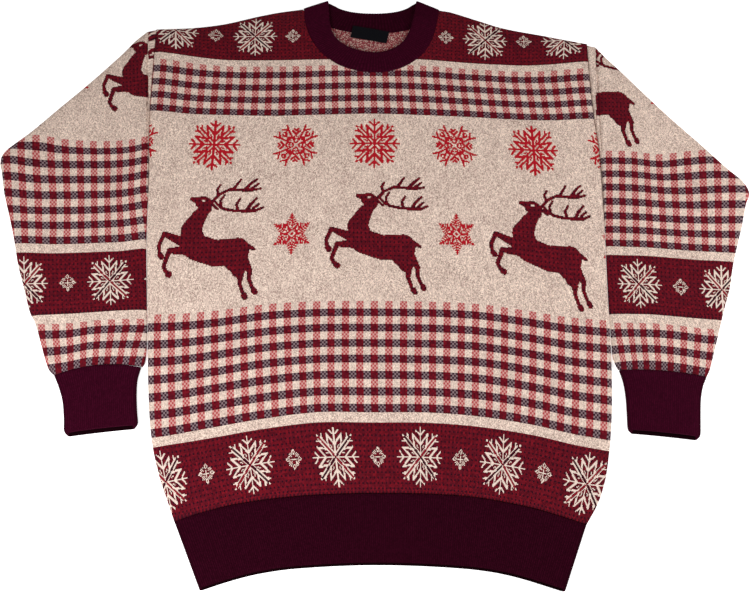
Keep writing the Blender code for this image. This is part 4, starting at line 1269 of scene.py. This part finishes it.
def add_sleeve(name, rings, armhole, side, flip, count):
    """A sleeve; its rings run from the cuff to the armhole."""
    last_ring = len(rings) - 1
    place = np.concatenate([np.linspace(0, last_ring - 0.2, 150), last_ring + SEAM_STEPS])
    row = rows_of(rings)(np.minimum(place, last_ring))
    out_x, out_y, in_y, gap, bow = np.moveaxis(row, -1, 0)
    blend = np.clip(place - last_ring, 0.0, 1.0)
    shoulder_end, underarm = armhole
    first = np.stack([out_x * flip, out_y], -1)[:, None]
    last = np.stack([side(in_y) * flip - gap, in_y], -1)[:, None]

    def path(t):
        on_ring = bowed(first, last, bow[:, None], t)
        y = shoulder_end + (underarm - shoulder_end) * t
        on_seam = np.stack([side(y) * flip - SEAM_GAP, y], -1)
        return on_ring + (on_seam - on_ring) * blend[:, None, None]

    crown = np.interp(place, [0, 1, last_ring, last_ring + 0.9, last_ring + 1],
                      [CUFF_END_CROWN, SLEEVE_CROWN, SLEEVE_CROWN, ARMHOLE_CROWN, SEAM_CROWN])
    pleat = np.interp(place, last_ring + PLEAT_STEPS, PLEAT_DEPTHS)
    across, turn = tube_places(len(place), 150, 70, 8)

    def rise(x, y, a):
        top = crown[:, None]
        top = top + fold_lift(SLEEVE_FOLDS, x * flip, y) * top / SLEEVE_CROWN
        top = top - pleat[:, None] * np.interp(a, [0.0, 0.5, 1.0], [1.0, 0.9, 0.5])
        return np.sqrt(arch(a)) * top

    outer = tube_points(path, across, turn, SLEEVE_RADIUS, 0.0, rise)
    inner = tube_points(path, across, turn, SLEEVE_RADIUS, KNIT_WALL, rise)
    for skin in (outer, inner):
        skin[..., 0] *= flip
    if flip < 0:
        outer, inner = outer[:, ::-1], inner[:, ::-1]
    both = np.concatenate([outer.reshape(-1, 3), inner.reshape(-1, 3)])
    stitches, motifs = count(both[:, 0], both[:, 1])
    return add_tube(name, outer, inner, JACQUARD, stitches, motifs)


print("loops close to the armhole:", len(SEAM_STEPS))

# %% Stitches of the sleeves
# The sleeves' own count is right for plaid and stitches. For the motifs it is shifted,
# by columns and rows, and the strip in the pleat beside an armhole is shifted by itself.
FLAKES_BELOW, PLEAT_ABOVE = 110, 150.0
LEFT_FLAKES, LEFT_DEER = (101.7, 0.0), (-75.3, 0.0)
LEFT_PLEAT, LEFT_PLEAT_HIGH, LEFT_HIGH_ROW = (-24.0, 5.0), (-37.5, 5.0), 240
RIGHT_FLAKES, RIGHT_PLEAT = (-100.0, 0.0), (131.0, 0.0)
RIGHT_DEER, RIGHT_DEER_SIZE = (71.4, 6.6), 0.97


def pick(choice, yes, no):
    return np.where(choice[:, None], yes, no)


def left_count(x, y):
    stitches = count_stitches(x, y, LEFT_X, LEFT_ROWS, SLEEVE_COLUMNS, LEFT_LINES,
                              LEFT_ROW_ABOVE)
    pleat = (x > -288.2 + (316.0 - y) * 0.085) & (y > PLEAT_ABOVE)
    in_pleat = pick(stitches[:, 1] > LEFT_HIGH_ROW, LEFT_PLEAT_HIGH, LEFT_PLEAT)
    shift = pick(stitches[:, 1] < FLAKES_BELOW, LEFT_FLAKES, pick(pleat, in_pleat, LEFT_DEER))
    return stitches, stitches + shift


def right_count(x, y):
    stitches = count_stitches(x, y, RIGHT_X, RIGHT_ROWS, SLEEVE_COLUMNS, RIGHT_LINES,
                              RIGHT_ROW_ABOVE)
    pleat = (x < 283.4 + (y - 289.0) * 0.07) & (y > PLEAT_ABOVE)
    upper = pick(pleat, stitches + RIGHT_PLEAT, stitches * RIGHT_DEER_SIZE + RIGHT_DEER)
    return stitches, pick(stitches[:, 1] < FLAKES_BELOW, stitches + RIGHT_FLAKES, upper)


left_sleeve = add_sleeve("left_sleeve", LEFT_RINGS, LEFT_ARMHOLE, left_x, 1, left_count)
right_sleeve = add_sleeve("right_sleeve", RIGHT_RINGS, RIGHT_ARMHOLE, right_x, -1, right_count)

# %% [markdown]
# ## Ribbed trims
# Cuffs and hem are 1x1 rib, knitted in plum. Each rib is real relief here, a rounded
# ridge with a groove beside it, because the light catches it at the edges.

# %% Ribbed tubes
RIB_RADIUS = RIB_WALL + RIB_FOLD
POINTS_A_RIB = 5


def rib_groove(across, ribs):
    """Depth of the grooves: nothing on a rib's top, all of the relief between ribs."""
    return RIB_RELIEF * (0.5 - 0.5 * np.cos(2 * math.pi * ribs * across)) ** 1.5


def add_ribbed_tube(name, plum, path, rise, share, courses, ribs, radius, flip=1):
    """A flat tube; path(t, below) is its plan, share runs along it, 0 to 1 in each column."""
    across, turn = tube_places(len(share), POINTS_A_RIB * ribs, POINTS_A_RIB * ribs, 10)
    below = (1 - np.cos(turn)) / 2
    groove = rib_groove(across, ribs) * (np.abs(np.cos(turn)) > 0.99)
    skins = [tube_points(lambda t: path(t, below), across, turn, radius, inset, rise, relief)
             for inset, relief in ((0.0, groove), (RIB_WALL, 0.0))]
    count = np.where(turn > math.pi / 2, 2 * ribs - across * ribs, across * ribs)
    stitches = np.stack([count, np.broadcast_to(share * courses, count.shape)], -1)
    for skin in skins:
        skin[..., 0] *= flip
    if flip < 0:
        skins, stitches = [skin[:, ::-1] for skin in skins], stitches[:, ::-1]
    stitches = stitches.reshape(-1, 2)
    tube = add_tube(name, *skins, (plum, plum_painted_shade), np.concatenate([stitches, stitches]))
    # the lining's faces take the darkest plum: painted shade inside cuffs and hem
    slots = np.zeros(len(tube.data.polygons), dtype=np.int32)
    slots[-(len(share) - 1) * across.shape[1]:] = 1
    tube.data.polygons.foreach_set("material_index", slots)
    return tube


print("points round a rib:", POINTS_A_RIB)

# %% Hem rib
HEM_RIBS, HEM_COURSES = 184, 56
HEM_LAYER_OFFSET = 3.0


def add_hem():
    part = np.concatenate([[0.0, 0.012, 0.03], np.linspace(0.06, 0.93, 20), [0.955, 0.98, 1.0]])
    fall = np.interp(part, [0, 0.03, 0.955, 1.0], [0.7, 0.0, 0.0, 0.8])[:, None]
    share = part[:, None]

    def path(t, below):
        top_x, low_x = key_of(HEM_SEAM, t), key_of(HEM_EDGE, t)
        top_y, low_y = hem_seam_y(top_x) - SEAM_GAP, hem_edge_y(low_x)
        return np.stack([top_x + (low_x - top_x) * share,
                         top_y + (low_y - top_y) * share - HEM_LAYER_OFFSET * below * share], -1)

    def rise(x, y, a):
        return arch(a, 6) - fall

    return add_ribbed_tube("hem", plum_rib, path, rise, share, HEM_COURSES, HEM_RIBS, RIB_RADIUS)


hem = add_hem()

# %% Cuffs
RIB_SPACING, CUFF_COURSES = 2.5, 54
CUFF_RADIUS = RIB_RADIUS + 0.1
# height of the crown at the sleeve, and how much more it has at the mouth
CUFF_CROWN, CUFF_FLARE = 1.6, 1.4
# how far the mouth's upper layer draws back and the lower one stands out
MOUTH_UP, MOUTH_DOWN = 2.0, 2.2


def add_cuff(name, rings, flip):
    last_ring = len(rings) - 1
    place = np.concatenate([[0, 0.05, 0.12], np.linspace(0.2, 4.6, 22), [4.75, 4.88, 5.0]])
    out_x, out_y, in_x, in_y, bow = np.moveaxis(rows_of(rings)(place), -1, 0)
    first = np.stack([out_x * flip, out_y], -1)[:, None]
    last = np.stack([in_x * flip, in_y], -1)[:, None]
    share = (place / last_ring)[:, None]
    ribs = round(math.hypot(rings[1][0] - rings[1][2], rings[1][1] - rings[1][3]) / RIB_SPACING)
    fall = np.interp(place, [0, 0.12, 4.75, 5.0], [0.7, 0.0, 0.0, 0.7])[:, None]

    def path(t, below):
        xy = bowed(first, last, bow[:, None], t)
        xy[..., 1] += MOUTH_UP * (1 - below) * share ** 8 - MOUTH_DOWN * below * share
        return xy

    def rise(x, y, a):
        return (CUFF_CROWN + CUFF_FLARE * share) * arch(a) - fall

    return add_ribbed_tube(name, plum_cuff, path, rise, share, CUFF_COURSES, ribs,
                           CUFF_RADIUS, flip)


left_cuff = add_cuff("left_cuff", LEFT_CUFF, 1)
right_cuff = add_cuff("right_cuff", RIGHT_CUFF, -1)

# %% [markdown]
# ## The neckband
# A ring of plum rib on its side: its front half lies over the front panel's neckline,
# its back half shows its inner face in a darker plum as painted shade, and at the two ears it folds
# over.

# %% Neckband
BAND_RIBS, BACK_RIBS, BAND_COURSES = 104, 60, 24
EAR_POINTS, BAND_CROWN = 11, 1.4


def add_neckband():
    half = RIB_WALL / 2
    radius = half + RIB_FOLD
    low, high = half, half + 2 * radius
    fine = 6 * BAND_RIBS
    t = np.linspace(0, 1, fine + 1)
    ear = np.arange(1, EAR_POINTS + 1) / (EAR_POINTS + 1)
    at_ear = np.ones(EAR_POINTS)
    back_t = np.linspace(0, 1, fine // 2 + 1)
    front, rear = rows_of(BAND_FRONT), rows_of(BAND_BACK)
    ends = len(BAND_FRONT) - 1
    stations = np.concatenate([front(t * ends), front(at_ear * ends),
                               rear(back_t * (len(BAND_BACK) - 1)), front(at_ear * 0.0)])
    turn = np.radians(np.concatenate([np.full(len(t), 90.0), 90 - 180 * ear,
                                      np.full(len(back_t), -90.0), -90 + 180 * ear]))
    bend = np.concatenate([np.zeros(len(t)), at_ear * radius,
                           np.zeros(len(back_t)), at_ear * radius])
    height = np.concatenate([high + BAND_CROWN * arch(t), at_ear * (low + radius),
                             np.full(len(back_t), low), at_ear * (low + radius)])
    ribs = np.concatenate([t * BAND_RIBS, BAND_RIBS + ear, BAND_RIBS + 1 + back_t * BACK_RIBS,
                           BAND_RIBS + 1 + BACK_RIBS + ear])
    edge, seam = stations[:, :2], stations[:, 2:]
    side = one_long(np.stack([seam[:, 1] - edge[:, 1], edge[:, 0] - seam[:, 0]], -1))
    side = np.where(side[:, 1:] > 0, side, -side)
    across = np.concatenate([[0, 0.03, 0.07], np.linspace(0.12, 0.88, 12), [0.93, 0.97, 1.0]])
    drop = np.interp(across, [0, 0.07, 0.93, 1.0], [0.9, 0.0, 0.0, 0.9])[:, None]
    groove = rib_groove(ribs, 1)

    def skin(offset, relief, fall):
        xy = seam[None] + (edge - seam)[None] * across[:, None, None]
        reach = bend + offset - relief
        push = np.where(bend == 0.0, 0.0, reach * np.cos(turn))
        xy = xy + side[None] * push[None, :, None]
        z = height[None] + (reach[None] - fall) * np.sin(turn)[None]
        return np.concatenate([xy, z[..., None]], -1)

    outer = skin(half, np.where(turn > 0, groove, 0.0), drop)
    inner = skin(-half, np.where(turn < -1.5, -groove, 0.0), np.zeros_like(drop))
    courses = across[:, None] * BAND_COURSES
    one = np.stack(np.broadcast_arrays(ribs[None], courses), -1).reshape(-1, 2)
    band = add_tube("neck_rib", outer, inner, (plum_cuff, plum_rib), np.concatenate([one, one]))
    # the faces of the back half have the darker plum of the hem: painted shade on the inner face
    corners = np.empty(len(band.data.loops), dtype=np.int32)
    band.data.loops.foreach_get("vertex_index", corners)
    station = corners[::4] % len(ribs)
    fold, other_fold = len(t) + EAR_POINTS // 2, len(t) + len(back_t) + EAR_POINTS * 3 // 2
    painted_shade_back = (station > fold) & (station < other_fold)
    band.data.polygons.foreach_set("material_index", painted_shade_back.astype(np.int32))
    return band


neck_rib = add_neckband()

# %% [markdown]
# ## The neck label
# A bare woven tape in the back of the neck, folded at its ends and sewn down.

# %% Neck label
LABEL_WIDTH, LABEL_HEIGHT = 47.0, 17.0
LABEL_X, LABEL_Y, LABEL_TURN = -4.0, 308.5, math.radians(-11.0)
LABEL_LOW, LABEL_HIGH, LABEL_LIFT = 2.95, 3.75, 0.35


def add_label():
    i, j = np.meshgrid(np.linspace(-0.5, 0.5, 49), np.linspace(-0.5, 0.5, 19))
    along, up = i * LABEL_WIDTH, j * LABEL_HEIGHT
    x = LABEL_X + along * math.cos(LABEL_TURN) - up * math.sin(LABEL_TURN)
    y = LABEL_Y + along * math.sin(LABEL_TURN) + up * math.cos(LABEL_TURN)
    lift = LABEL_LIFT * (1 - np.cos(2 * math.pi * (i + 0.5))) / 2
    points, quads, _ = slab_of(x, y, LABEL_HIGH + lift, LABEL_LOW + lift)
    stitches = np.concatenate([np.stack([along, up], -1).reshape(-1, 2)] * 2)
    return add_cloth("label_tape", points, quads, np.zeros(len(quads)), (tape,), stitches=stitches)


label = add_label()

# %% [markdown]
# ## What each piece stands for
# Each shell replaces its solid of the model, which is hidden, and the table lists its finish. Every
# one is a sheet of cloth, so the table also lists how large it was cut before it was sewn.

# %% Pieces, slots and cut sizes
CUTS = (
    (back, "back_panel", "jacquard_knit", (0.556, 0.640), 0.318, "floor"),
    (front, "front_panel", "jacquard_knit", (0.556, 0.630), 0.310, "back"),
    (left_sleeve, "sleeve_left", "jacquard_knit", (0.46, 0.36), 0.111, "floor"),
    (right_sleeve, "sleeve_right", "jacquard_knit", (0.46, 0.34), 0.101, "floor"),
    (left_cuff, "cuff_left", "plum_rib", (0.186, 0.070), 0.0130, "floor"),
    (right_cuff, "cuff_right", "plum_rib", (0.182, 0.070), 0.0127, "floor"),
    (hem, "hem_rib", "plum_rib", (0.850, 0.072), 0.0610, "floor"),
    (neck_rib, "neckband", "plum_rib", (0.440, 0.030), 0.0132, "floor"),
    (label, "neck_label", "label_tape", (0.047, 0.017), 0.00079, "back"),
)
for piece, node, slot, flat, area, under in CUTS:
    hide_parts(node)
